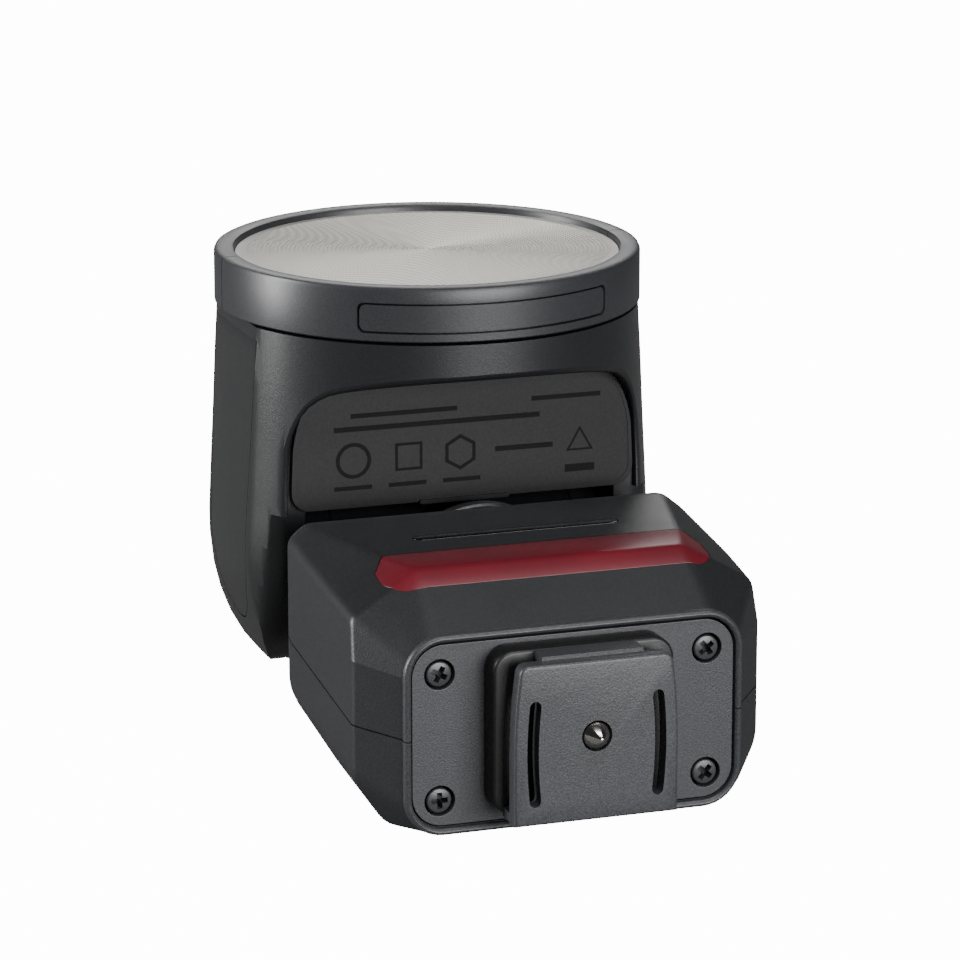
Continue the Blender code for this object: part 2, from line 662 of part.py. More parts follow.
def make_head_shell(look):
    shift = (0, 0, -HINGE_Z)
    shell = add_object("head_shell", head_solid(), look["satin"], head, at=shift)
    arms = arm_outline(ARM_HALF, ARM_BOTTOM, ARM_SHOULDER, HEAD_FLOOR)
    side_view = [*arms, (REACH, HEAD_FLOOR), (REACH, REACH), (-REACH, REACH), (-REACH, HEAD_FLOOR)]
    boolean(shell, add_object("keep_side_view", prism(side_view, -REACH, REACH, "X"), None, head, at=shift),
            "INTERSECT")
    outline = [*POCKET, *((-x, z) for x, z in reversed(POCKET[:-1]))]
    boolean(shell, add_object("cut_pocket", prism(outline, -REACH, -CHORD), None, head, at=shift))
    cavity = add_object("cut_head_cavity", cylinder(
        CAVITY_RADIUS, POCKET_CEILING + WALL, REACH, "Z", 48), None, head, at=shift)
    boolean(shell, cavity)
    lower = add_object("cut_head_lower", cylinder(
        LOWER_RADIUS, HEAD_FLOOR + WALL, POCKET_CEILING + WALL + 1, "Z", 48), None, head, at=shift)
    boolean(lower, add_object("keep_behind_chord", box(
        (-REACH, -CHORD + WALL, 0), (REACH, REACH, REACH)), None, head, at=shift), "INTERSECT")
    boolean(shell, lower)
    boolean(shell, add_object("cut_between_arms", box(
        (-ARM_INNER, -REACH, -REACH), (ARM_INNER, REACH, HEAD_FLOOR + 0.2)), None, head, at=shift))
    boolean(shell, add_object("cut_knuckle_sweep", cylinder(
        BARREL_RADIUS + GAP, -BARREL_HALF - GAP, BARREL_HALF + GAP, "X", 40), None, head))
    boolean(shell, add_object("cut_pivot_seat", cylinder(
        PIVOT_RADIUS + GAP, -PIVOT_OUTER - GAP, PIVOT_OUTER + GAP, "X", 24), None, head))
    make_side_covers(look, shell, shift)


def make_side_covers(look, shell, shift):
    """Each cover is a skin of the head's own surface, let into the arm."""
    skin_out = arm_outline(COVER_HALF, COVER_BOTTOM, COVER_SHOULDER, SHELL_TOP - GAP)
    seat_out = arm_outline(COVER_HALF + GAP, COVER_BOTTOM - GAP, COVER_SHOULDER, REACH)
    core = add_object("cut_cover_core", head_solid(COVER_THICKNESS), None, head, at=shift)
    seat_core = add_object("cut_seat_core", head_solid(COVER_THICKNESS + GAP), None, head, at=shift)
    for name, side in (("left", -1), ("right", 1)):
        span = sorted((side * COVER_INNER, side * REACH))
        cover = add_object("side_cover_" + name, head_solid(), look["satin"], head, at=shift)
        boolean(cover, add_object("keep_cover_" + name, prism(skin_out, *span, "X"), None, head, at=shift),
                "INTERSECT")
        boolean(cover, core)
        seat = add_object("cut_seat_" + name, prism(seat_out, *span, "X"), None, head, at=shift)
        boolean(seat, seat_core)
        boolean(shell, seat)


def make_label(look):
    outline = [*LABEL_OUTLINE, *((-x, z) for x, z in reversed(LABEL_OUTLINE))]
    back = -CHORD - GAP
    add_object("label_plate", prism(outline, back - LABEL_THICKNESS, back), look["label"], head,
               at=(0, 0, -HINGE_Z))


def half_ring(sign):
    """Half of the ring round the lens, with the lip that the lens sits on."""
    profile = ((LIP_INNER, RING_BOTTOM), (RING_RADIUS, RING_BOTTOM), (RING_RADIUS, RING_TOP - 0.3),
               (RING_RADIUS - 0.3, RING_TOP), (RING_INNER + 0.2, RING_TOP), (RING_INNER, RING_TOP - 0.3),
               (RING_INNER, LIP_TOP), (LIP_INNER, LIP_TOP))
    seam = 2 * math.asin(GAP / 2 / RING_RADIUS)
    bm = turned(profile, "Z", 24, math.pi - seam)
    bmesh.ops.rotate(bm, matrix=Matrix.Rotation(sign * math.pi / 2, 3, "Z"), verts=bm.verts)
    return bm


def ring_sector(inner, outer, low, high, half_angle):
    """A block of the ring's own curve, centred on its near side."""
    bm = turned(((inner, low), (outer, low), (outer, high), (inner, high)), "Z", 14, 2 * half_angle)
    bmesh.ops.rotate(bm, matrix=Matrix.Rotation(-math.pi / 2, 3, "Z"), verts=bm.verts)
    return bm


def make_ring(look):
    shift = (0, 0, -HINGE_Z)
    near = add_object("ring_near", half_ring(-1), look["satin"], head, at=shift)
    add_object("ring_far", half_ring(1), look["satin"], head, at=shift)
    margin = GAP / RING_RADIUS
    boolean(near, add_object("cut_ring_panel", ring_sector(
        RING_RADIUS - PANEL_DEPTH[0] - GAP, REACH, PANEL_LOW - GAP, PANEL_HIGH + GAP, PANEL_ANGLE + margin),
        None, head, at=shift))
    add_object("ring_panel", ring_sector(
        *(RING_RADIUS - depth for depth in PANEL_DEPTH), PANEL_LOW, PANEL_HIGH, PANEL_ANGLE),
        look["gloss"], head, at=shift)


def make_optics(look):
    shift = (0, 0, -HINGE_Z)
    edge = RING_INNER - GAP
    lens = ((0, LIP_TOP + GAP), (edge, LIP_TOP + GAP), (edge, LENS_TOP - 0.2), (edge - 0.3, LENS_TOP),
            (0, LENS_TOP))
    add_object("fresnel_lens", turned(lens, "Z", 48), look["lens"], head, at=shift)
    mouth = LIP_INNER - GAP
    outer, inner = [], []
    for step in range(REFLECTOR_STEPS + 1):
        radius = REFLECTOR_FLOOR + (mouth - REFLECTOR_FLOOR) * step / REFLECTOR_STEPS
        height = REFLECTOR_BASE + REFLECTOR_DEPTH * (radius / mouth) ** 2
        outer.append((radius, height))
        inner.append((radius - REFLECTOR_WALL, height + REFLECTOR_WALL))
    bowl = [(0, REFLECTOR_BASE), *outer, *reversed(inner), (0, REFLECTOR_BASE + REFLECTOR_WALL)]
    add_object("reflector", turned(bowl, "Z", 40), look["bright"], head, at=shift)
    add_object("flash_tube", cylinder(TUBE_RADIUS, -TUBE_HALF, TUBE_HALF, "X", 20), look["quartz"], head,
               at=(0, 0, TUBE_Z - HINGE_Z))
    y, z = CAPACITOR_AT
    add_object("flash_capacitor", cylinder(CAPACITOR_RADIUS, -CAPACITOR_HALF, CAPACITOR_HALF, "X", 28),
               look["cell"], head, at=(0, y, z - HINGE_Z))
    add_object("trigger_board", box(*TRIGGER_BOARD), look["board"], head, at=shift)
    y, z = LAMP_LENS_AT
    add_object("modelling_lamp", cylinder(LAMP_LENS_RADIUS, *LAMP_LENS_Z, "Z", 16), look["lens"], head,
               at=(0, y, z - HINGE_Z))


# ---------------------------------------------------------------- build

clear_scene()
parts = new_collection("speedlight_flash")
cutters = new_collection("cutters")

root = empty("speedlight", None, (0, -MID_Y, -RIM_BOTTOM))
panel = empty("rear_panel_frame", root, (0, PANEL_Y, rear_z(PANEL_Y)), (REAR_SLOPE, 0, 0))
contact = empty("contact_axis", root)
dial_axis = empty("dial_axis", panel, (*DIAL_AT, 0))
button_axes = {name: empty(name + "_axis", panel, (*at, 0)) for name, at in BUTTONS.items()}
button_axes["set_button"] = empty("set_button_axis", dial_axis)
tilt_frame = empty("neck_axis", root, (0, HINGE_Y, HINGE_Z))
head = empty("head_axis", tilt_frame)

finishes = looks()
make_shells(finishes)
make_front_trim(finishes)
make_shoe(finishes)
make_insides(finishes)
make_controls(finishes)
make_neck(finishes)
make_head_shell(finishes)
make_label(finishes)
make_ring(finishes)
make_optics(finishes)
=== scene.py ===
"""The looks of a compact speedlight flash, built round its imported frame.

Pieces are drawn in millimetres from the centre of the shoe contact on the foot's
outer face, with X to the right, Y towards the head and Z along the light. Their
driving sizes are read from the frame, and place() moves them into it.
"""

import json
import math

import bmesh
import bpy
from mathutils import Matrix, Vector


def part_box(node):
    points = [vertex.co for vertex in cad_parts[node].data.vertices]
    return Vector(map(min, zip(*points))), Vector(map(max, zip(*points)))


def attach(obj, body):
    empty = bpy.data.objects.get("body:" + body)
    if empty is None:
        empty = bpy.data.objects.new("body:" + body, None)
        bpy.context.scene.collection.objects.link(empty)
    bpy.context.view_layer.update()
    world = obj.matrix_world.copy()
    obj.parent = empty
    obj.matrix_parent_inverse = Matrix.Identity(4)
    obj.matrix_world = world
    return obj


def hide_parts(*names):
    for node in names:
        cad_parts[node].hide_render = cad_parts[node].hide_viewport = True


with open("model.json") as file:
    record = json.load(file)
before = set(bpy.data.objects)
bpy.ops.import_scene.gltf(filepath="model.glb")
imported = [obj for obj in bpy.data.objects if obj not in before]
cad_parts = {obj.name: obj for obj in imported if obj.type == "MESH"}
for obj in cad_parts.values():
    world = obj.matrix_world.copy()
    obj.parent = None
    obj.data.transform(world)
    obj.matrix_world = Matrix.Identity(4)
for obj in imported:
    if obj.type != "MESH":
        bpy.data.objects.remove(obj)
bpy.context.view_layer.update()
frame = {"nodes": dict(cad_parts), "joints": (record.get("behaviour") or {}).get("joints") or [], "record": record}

MM = 0.001
foot_low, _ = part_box("hot_shoe_foot")
pin_low, pin_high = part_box("contact_pin")
ORIGIN = Vector((0, foot_low.y, (pin_low.z + pin_high.z) / 2))


def reach(node):
    """A node's lowest and highest corners in millimetres from the contact."""
    low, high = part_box(node)
    return (low - ORIGIN) / MM, (high - ORIGIN) / MM


def joint_place(name):
    joint = next(j for j in frame["joints"] if j["name"] == name)
    return (Vector(joint["pos_m"]) - ORIGIN) / MM


HINGE = joint_place("head_tilt")
AXIS_Y = HINGE.y

# Seams between pieces, drawn finer than the frame's working gap
SEAM = 0.14
FINE = 0.08

# Body
SHELL_LOW, SHELL_HIGH = reach("front_shell")
RIM_Y = SHELL_LOW.y
FAR_Y = SHELL_HIGH.y
FRONT_Z = SHELL_HIGH.z
RIM_BOTTOM = reach("rear_shell")[0].z
SIDE_X = SHELL_HIGH.x
WALL = 1.6
NECK_HOLE = 7.0
KNEE_Z = 7.0                    # where the facets end on the body's sides
REAR_SLOPE = math.radians(6.75)
PARTING_Z = -0.9
RIM_HALF = 19.4
RIM_TOP = 10.65
RIM_CORNER = 4.5

# Head
RING_LOW, RING_HIGH = reach("ring_near")
RING_RADIUS = RING_HIGH.x
HEAD_HIGH = reach("head_shell")[1]
HEAD_RADIUS = RING_RADIUS - 0.2
LENS_LOW, LENS_HIGH = reach("fresnel_lens")
LENS_RADIUS = LENS_HIGH.x
RING_INNER = LENS_RADIUS + 0.12
HEAD_FLOOR = 14.5
COVER_DEPTH = 1.3               # how far the covers' seats are let into the arms
PIVOT_RADIUS = 3.3
ARM_INNER = 18.7
ARM_HALF = 12.3
ARM_BOTTOM = -6.0
ARM_SHOULDER = 12.0
COVER_HALF = 9.4
COVER_BOTTOM = -1.4
COVER_SHOULDER = 10.0
CHORD = 12.5
POCKET_CEILING = 31.2
SIDE_FLAT = 0.94                # the covers' flats, as a share of the head's half-width
CROWN = 0.2                     # how far a cover bulges past its flat
HEAD_TOP_HALF = 24.5
HEAD_FLARE = (
    (HEAD_HIGH.z, HEAD_TOP_HALF), (29.0, 24.9), (22.0, 25.25), (16.0, 25.6), (10.5, 25.88),
    (7.6, 25.85), (3.8, 25.4), (0.7, 24.6), (-2.1, 23.6), (-4.3, 22.4), (-5.6, 21.3), (ARM_BOTTOM, 20.6),
)


# ---------------------------------------------------------------- mesh helpers

def place(bm):
    """From millimetres round the contact into the frame's metres."""
    bmesh.ops.scale(bm, vec=(MM, MM, MM), verts=bm.verts)
    bmesh.ops.translate(bm, vec=ORIGIN, verts=bm.verts)


def turn(bm, angle, axis, centre=(0, 0, 0)):
    bmesh.ops.rotate(bm, cent=centre, matrix=Matrix.Rotation(angle, 3, axis), verts=bm.verts)
    return bm


def shift(bm, x=0.0, y=0.0, z=0.0):
    bmesh.ops.translate(bm, vec=(x, y, z), verts=bm.verts)
    return bm


def block(low, high, corner=0.0, along=1, segments=8):
    """A box between two corners, with the four edges along one axis rounded."""
    bm = bmesh.new()
    bmesh.ops.create_cube(bm, size=1)
    size = [b - a for a, b in zip(low, high)]
    bmesh.ops.scale(bm, vec=size, verts=bm.verts)
    shift(bm, *[(a + b) / 2 for a, b in zip(low, high)])
    if corner:
        edges = [e for e in bm.edges if abs((e.verts[0].co - e.verts[1].co)[along]) > size[along] / 2]
        bmesh.ops.bevel(bm, geom=edges, offset=corner, segments=segments, profile=0.5,
                        affect="EDGES", material=-1)
    return bm


def rod(radius, start, end, axis="Z", segments=48):
    """A plain round solid from start to end along an axis."""
    bm = bmesh.new()
    bmesh.ops.create_cone(bm, cap_ends=True, segments=segments, radius1=radius, radius2=radius,
                          depth=end - start)
    shift(bm, z=(start + end) / 2)
    return aim(bm, axis)


def aim(bm, axis):
    """Lays a solid drawn along Z along X or Y instead."""
    if axis == "Y":
        turn(bm, math.radians(-90), "X")
    elif axis == "X":
        turn(bm, math.radians(90), "Y")
    return bm


def spun(profile, axis="Z", steps=64, sweep=math.tau, start=0.0):
    """A closed outline of (radius, height) points swept round an axis."""
    bm = bmesh.new()
    corners = [bm.verts.new((radius, 0, height)) for radius, height in profile]
    full = sweep == math.tau
    for a, b in zip(corners, corners[1:] + corners[:1]):
        if a.co.x > 0 or b.co.x > 0:
            bm.edges.new((a, b))
    drawn = [*corners, *bm.edges]
    if not full:
        drawn.append(bm.faces.new(corners))
    turn(bm, start, "Z")
    bmesh.ops.spin(bm, geom=drawn, cent=(0, 0, 0), axis=(0, 0, 1), angle=sweep, steps=steps,
                   use_merge=full)
    bmesh.ops.remove_doubles(bm, verts=bm.verts, dist=1e-4)
    bmesh.ops.recalc_face_normals(bm, faces=bm.faces)
    return aim(bm, axis)


def slab(outline, start, end, axis="Y"):
    """A flat outline extruded: (x, z) points along Y, (y, z) along X, (x, y) along Z."""
    bm = bmesh.new()
    lay = {"X": lambda u, v, w: (w, u, v), "Y": lambda u, v, w: (u, w, v),
           "Z": lambda u, v, w: (u, v, w)}[axis]
    face = bm.faces.new([bm.verts.new(lay(u, v, start)) for u, v in outline])
    grown = bmesh.ops.extrude_face_region(bm, geom=[face])["geom"]
    way = lay(0, 0, end - start)
    bmesh.ops.translate(bm, vec=way, verts=[v for v in grown if isinstance(v, bmesh.types.BMVert)])
    bmesh.ops.recalc_face_normals(bm, faces=bm.faces)
    return bm


def loft(rings, closed=False):
    """A solid through rings of points; closed joins the last ring to the first, without caps."""
    bm = bmesh.new()
    loops = []
    for ring in rings:
        corners = [bm.verts.new(point) for point in ring]
        loops.append([bm.edges.new((a, b)) for a, b in zip(corners, corners[1:] + corners[:1])])
    pairs = list(zip(loops, loops[1:]))
    if closed:
        pairs.append((loops[-1], loops[0]))
    for lower, upper in pairs:
        bmesh.ops.bridge_loops(bm, edges=lower + upper)
    if not closed:
        for loop in (loops[0], loops[-1]):
            bmesh.ops.contextual_create(bm, geom=loop)
    bmesh.ops.recalc_face_normals(bm, faces=bm.faces)
    return bm


def arc(centre, radii, start, end, steps):
    """Points along an ellipse's arc, angles in degrees."""
    points = []
    for step in range(steps + 1):
        angle = math.radians(start + (end - start) * step / steps)
        points.append((centre[0] + radii[0] * math.cos(angle), centre[1] + radii[1] * math.sin(angle)))
    return points


def as_object(bm, name="tool"):
    mesh = bpy.data.meshes.new(name)
    bm.to_mesh(mesh)
    bm.free()
    made = bpy.data.objects.new(name, mesh)
    bpy.context.scene.collection.objects.link(made)
    return made


def baked(made):
    """An object's mesh with its modifiers applied, as a bmesh; the object goes."""
    bpy.context.view_layer.update()
    seen = made.evaluated_get(bpy.context.evaluated_depsgraph_get())
    bm = bmesh.new()
    bm.from_mesh(seen.to_mesh())
    seen.to_mesh_clear()
    mesh = made.data
    bpy.data.objects.remove(made)
    bpy.data.meshes.remove(mesh)
    return bm


def carve(bm, *tools, keep=False, join=False):
    """Cuts the tools away; keep leaves only what is inside them, and join adds them."""
    body = as_object(bm)
    others = []
    for tool in tools:
        other = as_object(tool)
        step = body.modifiers.new("carve", "BOOLEAN")
        step.operation = "INTERSECT" if keep else "UNION" if join else "DIFFERENCE"
        step.object = other
        others.append(other)
    result = baked(body)
    for other in others:
        mesh = other.data
        bpy.data.objects.remove(other)
        bpy.data.meshes.remove(mesh)
    bmesh.ops.dissolve_degenerate(result, edges=result.edges, dist=1e-4)
    return result


def round_edges(bm, width, segments=3, angle=40):
    """Rounds the edges that turn by more than an angle."""
    edges = [e for e in bm.edges if len(e.link_faces) == 2 and e.calc_face_angle() > math.radians(angle)]
    bmesh.ops.bevel(bm, geom=edges, offset=width, segments=segments, profile=0.5, affect="EDGES",
                    material=-1, clamp_overlap=True)
    return bm


def piece(name, bm, look, body, slot, *nodes, sharp=30, flat=False):
    """Places a finished mesh, gives it its material, and ties it to the frame."""
    place(bm)
    mesh = bpy.data.meshes.new(name)
    bm.to_mesh(mesh)
    bm.free()
    mesh.shade_smooth()
    mesh.set_sharp_from_angle(angle=math.radians(sharp))
    mesh.materials.append(look)
    made = bpy.data.objects.new(name, mesh)
    bpy.context.scene.collection.objects.link(made)
    if flat:
        normals = made.modifiers.new("weighted_normals", "WEIGHTED_NORMAL")
        normals.keep_sharp = True
    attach(made, body)
    if nodes:
        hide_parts(*nodes)
    return made


# ---------------------------------------------------------------- materials

def srgb(text):
    """A hex colour as linear values."""
    channels = [int(text[i:i + 2], 16) / 255 for i in (0, 2, 4)]
    linear = [c / 12.92 if c <= 0.04045 else ((c + 0.055) / 1.055) ** 2.4 for c in channels]
    return (*linear, 1)


def add(tree, kind, inputs=None, **settings):
    """Adds a node with its settings, its input values and its links."""
    node = tree.nodes.new(kind)
    for key, value in settings.items():
        setattr(node, key, value)
    for key, value in (inputs or {}).items():
        if isinstance(value, bpy.types.NodeSocket):
            tree.links.new(value, node.inputs[key])
        else:
            node.inputs[key].default_value = value
    return node


GLOSS_SPREAD = 0.06             # how much a moulding's roughness wanders
HAIRLINE = 0.4e-6               # metres, the depth of a polished surface's fine marks


def start_material(name, **values):
    made = bpy.data.materials.new(name)
    made.use_nodes = True
    tree = made.node_tree
    shader = tree.nodes["Principled BSDF"]
    for key, value in values.items():
        shader.inputs[key.replace("_", " ").title().replace("Ior", "IOR")].default_value = value
    return made, tree, shader


def moulded(name, dark, light, roughness, grain_mm, bump_um, sheen=0.5):
    """Moulded plastic with an etched grain: a fine pebble that breaks up the highlight, and a
    faint lightness that changes from grain to grain."""
    made, tree, shader = start_material(name, ior=1.5)
    shader.inputs["Specular IOR Level"].default_value = sheen
    place_in = add(tree, "ShaderNodeTexCoord").outputs["Object"]
    grain = add(tree, "ShaderNodeTexNoise", {"Vector": place_in, "Scale": 1 / (grain_mm * MM), "Detail": 2.0,
                                             "Roughness": 0.6})
    cells = add(tree, "ShaderNodeTexVoronoi", {"Vector": place_in, "Scale": 0.8 / (grain_mm * MM)})
    tone = add(tree, "ShaderNodeValToRGB", {"Fac": grain.outputs["Fac"]})
    tone.color_ramp.elements[0].position = 0.36
    tone.color_ramp.elements[0].color = srgb(dark)
    tone.color_ramp.elements[1].position = 0.68
    tone.color_ramp.elements[1].color = srgb(light)
    wear = add(tree, "ShaderNodeTexNoise", {"Vector": place_in, "Scale": 90.0, "Detail": 3.0})
    gloss = add(tree, "ShaderNodeMapRange", {"Value": wear.outputs["Fac"],
                                             "To Min": roughness - GLOSS_SPREAD,
                                             "To Max": roughness + GLOSS_SPREAD})
    height = add(tree, "ShaderNodeMath", {0: grain.outputs["Fac"], 1: cells.outputs["Distance"]},
                 operation="ADD")
    bump = add(tree, "ShaderNodeBump", {"Height": height.outputs["Value"], "Strength": 1.0,
                                        "Distance": bump_um * 1e-6})
    tree.links.new(tone.outputs["Color"], shader.inputs["Base Color"])
    tree.links.new(gloss.outputs["Result"], shader.inputs["Roughness"])
    tree.links.new(bump.outputs["Normal"], shader.inputs["Normal"])
    return made


def polished(name, colour, roughness, metallic):
    """A smooth surface with hairline variation in its gloss."""
    made, tree, shader = start_material(name, metallic=metallic, base_color=srgb(colour))
    place_in = add(tree, "ShaderNodeTexCoord").outputs["Object"]
    hairs = add(tree, "ShaderNodeTexNoise", {"Vector": place_in, "Scale": 1500.0, "Detail": 4.0})
    gloss = add(tree, "ShaderNodeMapRange", {"Value": hairs.outputs["Fac"], "To Min": roughness * 0.7,
                                             "To Max": roughness * 1.3})
    bump = add(tree, "ShaderNodeBump", {"Height": hairs.outputs["Fac"], "Distance": HAIRLINE})
    tree.links.new(gloss.outputs["Result"], shader.inputs["Roughness"])
    tree.links.new(bump.outputs["Normal"], shader.inputs["Normal"])
    return made


def frosted_acrylic():
    """Moulded prismatic acrylic, frosted behind: a pale warm field with fine crossed ribs,
    with painted shade that darkens it a little towards the far side."""
    made, tree, shader = start_material("prismatic_acrylic", ior=1.49, roughness=0.28)
    place_in = add(tree, "ShaderNodeTexCoord").outputs["Object"]
    diagonals = []
    for angle in (38, -52):
        turned = add(tree, "ShaderNodeMapping", {"Vector": place_in,
                                                 "Rotation": (0, 0, math.radians(angle))})
        ribs = add(tree, "ShaderNodeTexWave", {"Vector": turned.outputs["Vector"], "Scale": 900.0,
                                               "Distortion": 0.0}, bands_direction="X")
        diagonals.append(ribs.outputs["Fac"])
    crossed = add(tree, "ShaderNodeMath", {0: diagonals[0], 1: diagonals[1]}, operation="MULTIPLY")
    tone = add(tree, "ShaderNodeValToRGB", {"Fac": crossed.outputs["Value"]})
    tone.color_ramp.elements[0].color = srgb("c4c2ba")
    tone.color_ramp.elements[1].color = srgb("fbf8ee")
    # Painted shade: shade runs from 1.0 at the near edge to 0.7 at the far edge along Object Y, and depth is the
    # colour darkened by it
    across = add(tree, "ShaderNodeSeparateXYZ", {"Vector": place_in})
    shade = add(tree, "ShaderNodeMapRange", {"Value": across.outputs["Y"], "From Min": -0.004,
                                             "From Max": 0.039, "To Min": 1.0, "To Max": 0.7})
    depth = add(tree, "ShaderNodeVectorMath", {0: tone.outputs["Color"], 1: shade.outputs["Result"]},
                operation="MULTIPLY")
    bump = add(tree, "ShaderNodeBump", {"Height": crossed.outputs["Value"], "Distance": 60e-6,
                                        "Strength": 0.6})
    tree.links.new(depth.outputs["Vector"], shader.inputs["Base Color"])
    tree.links.new(bump.outputs["Normal"], shader.inputs["Normal"])
    return made


def red_acrylic():
    """Tinted translucent acrylic, lightly frosted: a deep red that brightens where light crosses it."""
    made, tree, shader = start_material("tinted_acrylic", ior=1.49, transmission_weight=0.35)
    shader.inputs["Specular IOR Level"].default_value = 0.3
    place_in = add(tree, "ShaderNodeTexCoord").outputs["Object"]
    frost = add(tree, "ShaderNodeTexNoise", {"Vector": place_in, "Scale": 4000.0, "Detail": 2.0})
    cloud = add(tree, "ShaderNodeTexNoise", {"Vector": place_in, "Scale": 120.0, "Detail": 2.0})
    tone = add(tree, "ShaderNodeValToRGB", {"Fac": cloud.outputs["Fac"]})
    tone.color_ramp.elements[0].color = srgb("5c1722")
    tone.color_ramp.elements[1].color = srgb("7f1e2c")
    gloss = add(tree, "ShaderNodeMapRange", {"Value": frost.outputs["Fac"], "To Min": 0.3, "To Max": 0.42})
    bump = add(tree, "ShaderNodeBump", {"Height": frost.outputs["Fac"], "Distance": 4e-6})
    tree.links.new(tone.outputs["Color"], shader.inputs["Base Color"])
    tree.links.new(gloss.outputs["Result"], shader.inputs["Roughness"])
    tree.links.new(bump.outputs["Normal"], shader.inputs["Normal"])
    return made


LOOK = {
    "body": moulded("spark_etched_abs", "17181a", "232427", 0.42, 0.16, 9),
    "shoe": moulded("speckled_nylon", "292a2d", "3f4044", 0.4, 0.16, 12),
    # Painted shade: the pedestal is the shoe's nylon coloured far darker, so its walls in the rail channels read
    # as shaded
    "pedestal": moulded("smooth_nylon_painted_shade", "0c0c0d", "111112", 0.45, 0.16, 6),
    "head": moulded("satin_abs", "141517", "1d1e20", 0.32, 0.14, 6),
    "label": moulded("label_film", "1a1a1b", "202022", 0.4, 0.3, 2, sheen=0.2),
    "ink": moulded("screen_printed_ink", "040404", "060606", 0.5, 0.3, 1, sheen=0.1),
    "gloss": polished("gloss_abs", "0a0a0b", 0.12, 0.0),
    "red": red_acrylic(),
    "lens": frosted_acrylic(),
    "steel": polished("nickel_plate", "b9b7b2", 0.16, 1.0),
    "screw": moulded("black_zinc", "2c2d30", "3a3b3e", 0.34, 0.12, 3),
    "ring": moulded("ring_satin", "222326", "2e2f32", 0.38, 0.14, 6),
    "bright": polished("bright_aluminium", "e8e8ea", 0.08, 1.0),
    "key": moulded("silicone_key", "18181a", "232325", 0.6, 0.2, 8),
    "board": moulded("solder_mask", "0c3a22", "11502e", 0.4, 0.6, 4),
    "cell": moulded("heat_shrink", "27304f", "333d63", 0.4, 0.5, 4),
    "quartz": polished("quartz_glass", "dfe3e6", 0.05, 0.0),
    "panel": moulded("panel_lacquer", "0c0c0d", "121213", 0.2, 0.3, 1.5),
    "mark": moulded("key_print", "9a9a9c", "b2b2b4", 0.5, 0.2, 2),
    "acetal": moulded("acetal", "0d0d0e", "151516", 0.35, 0.3, 4),
}


# ---------------------------------------------------------------- body shells

FACET_STEPS = 3                 # points along each corner facet, between its rounded ends
EASE_STEPS = 4
UPPER_COUNT = 2 * (EASE_STEPS + 1) + FACET_STEPS + 1
LOWER_COUNT = 2 * (EASE_STEPS + 1)


def rear_z(y):
    return RIM_BOTTOM + (y - RIM_Y) * math.tan(REAR_SLOPE)


def mirrored(half):
    return half + [(-x, y, z) for x, y, z in reversed(half)]


def eased(before, corner, after, width):
    """Points that round a corner, starting and ending a width away from it."""
    before, corner, after = Vector(before), Vector(corner), Vector(after)
    start = corner + (before - corner) * min(width / (before - corner).length, 0.45)
    end = corner + (after - corner) * min(width / (after - corner).length, 0.45)
    points = []
    for step in range(EASE_STEPS + 1):
        t = step / EASE_STEPS
        points.append(tuple(start.lerp(corner, t).lerp(corner.lerp(end, t), t)))
    return points


def eased_rings(before, corner, after, width):
    """Rings that round the edge which one ring makes between its neighbours."""
    columns = [eased(a, b, c, width) for a, b, c in zip(before, corner, after)]
    return [list(ring) for ring in zip(*columns)]


def body_ring(front, side_top, knee, side_low, rear):
    """The body's section through five corners a side, each rounded a little."""
    across = [(-x, y, z) for x, y, z in (front, rear)]
    top = eased(across[0], front, side_top, 0.8)
    side = eased(front, side_top, knee, 0.9)
    shares = [step / (FACET_STEPS + 1) for step in range(1, FACET_STEPS + 1)]
    facet = [tuple(Vector(top[-1]).lerp(side[0], share)) for share in shares]
    low = eased(knee, side_low, rear, 1.4)
    bottom = eased(side_low, rear, across[1], 1.4)
    return mirrored(top + facet + side + [knee] + low + bottom)


def rim_ring(inset, y):
    """The rounded rectangle of the rim, drawn in by an inset."""
    radius = RIM_CORNER - inset
    x = RIM_HALF - RIM_CORNER
    top = arc((x, RIM_TOP - RIM_CORNER), (radius, radius), 90, 0, UPPER_COUNT - 1)
    low = arc((x, RIM_BOTTOM + RIM_CORNER), (radius, radius), 0, -90, LOWER_COUNT - 1)
    return mirrored([(u, RIM_Y + y, v) for u, v in top + low])


def box_ring(y, front_x, side_top, side_low, inset=0.0):
    x = SIDE_X - inset
    return body_ring((front_x - inset, y, FRONT_Z - inset), (x, y, side_top - inset * 0.6),
                     (x, y, KNEE_Z), (x, y, side_low + inset * 0.6),
                     (20.4 - inset * 0.6, y, rear_z(y) + inset))


def hole_ring(y, radius, like):
    """A circle round the neck whose points lie in the directions of another ring's points."""
    ring = []
    for x, _, z in like:
        way = Vector((x, z - HINGE.z)).normalized()
        ring.append((way.x * radius, y, HINGE.z + way.y * radius))
    return ring


def body_rings():
    shoulder = body_ring((15.4, 15.0, FRONT_Z), (23.2, 13.75, 11.45), (SIDE_X, 12.5, KNEE_Z),
                         (SIDE_X, 12.5, -6.4), (20.2, 10.6, rear_z(10.6)))
    edge, middle = rim_ring(0, 0.92), box_ring(21.0, 17.4, 12.4, -5.7)
    last = box_ring(35.0, 21.0, 13.9, -3.6)
    far_corner, far = (box_ring(FAR_Y, 21.6, 14.2, -3.2, inset) for inset in (0.2, 3.0))
    outer = [rim_ring(0.9, 2.9), rim_ring(0.9, 0.8), rim_ring(0.14, 0.8), edge,
             *eased_rings(edge, shoulder, middle, 0.55), middle, last,
             *eased_rings(last, far_corner, far, 1.5), far]
    inner_far = box_ring(FAR_Y - WALL, 20.8, 13.8, -3.6, WALL)
    inner = [inner_far, box_ring(21.0, 17.4, 12.4, -5.7, WALL), box_ring(14.6, 15.6, 11.6, -6.0, WALL)]
    return outer, [hole_ring(FAR_Y, NECK_HOLE, far), hole_ring(FAR_Y - WALL, NECK_HOLE, inner_far), *inner]


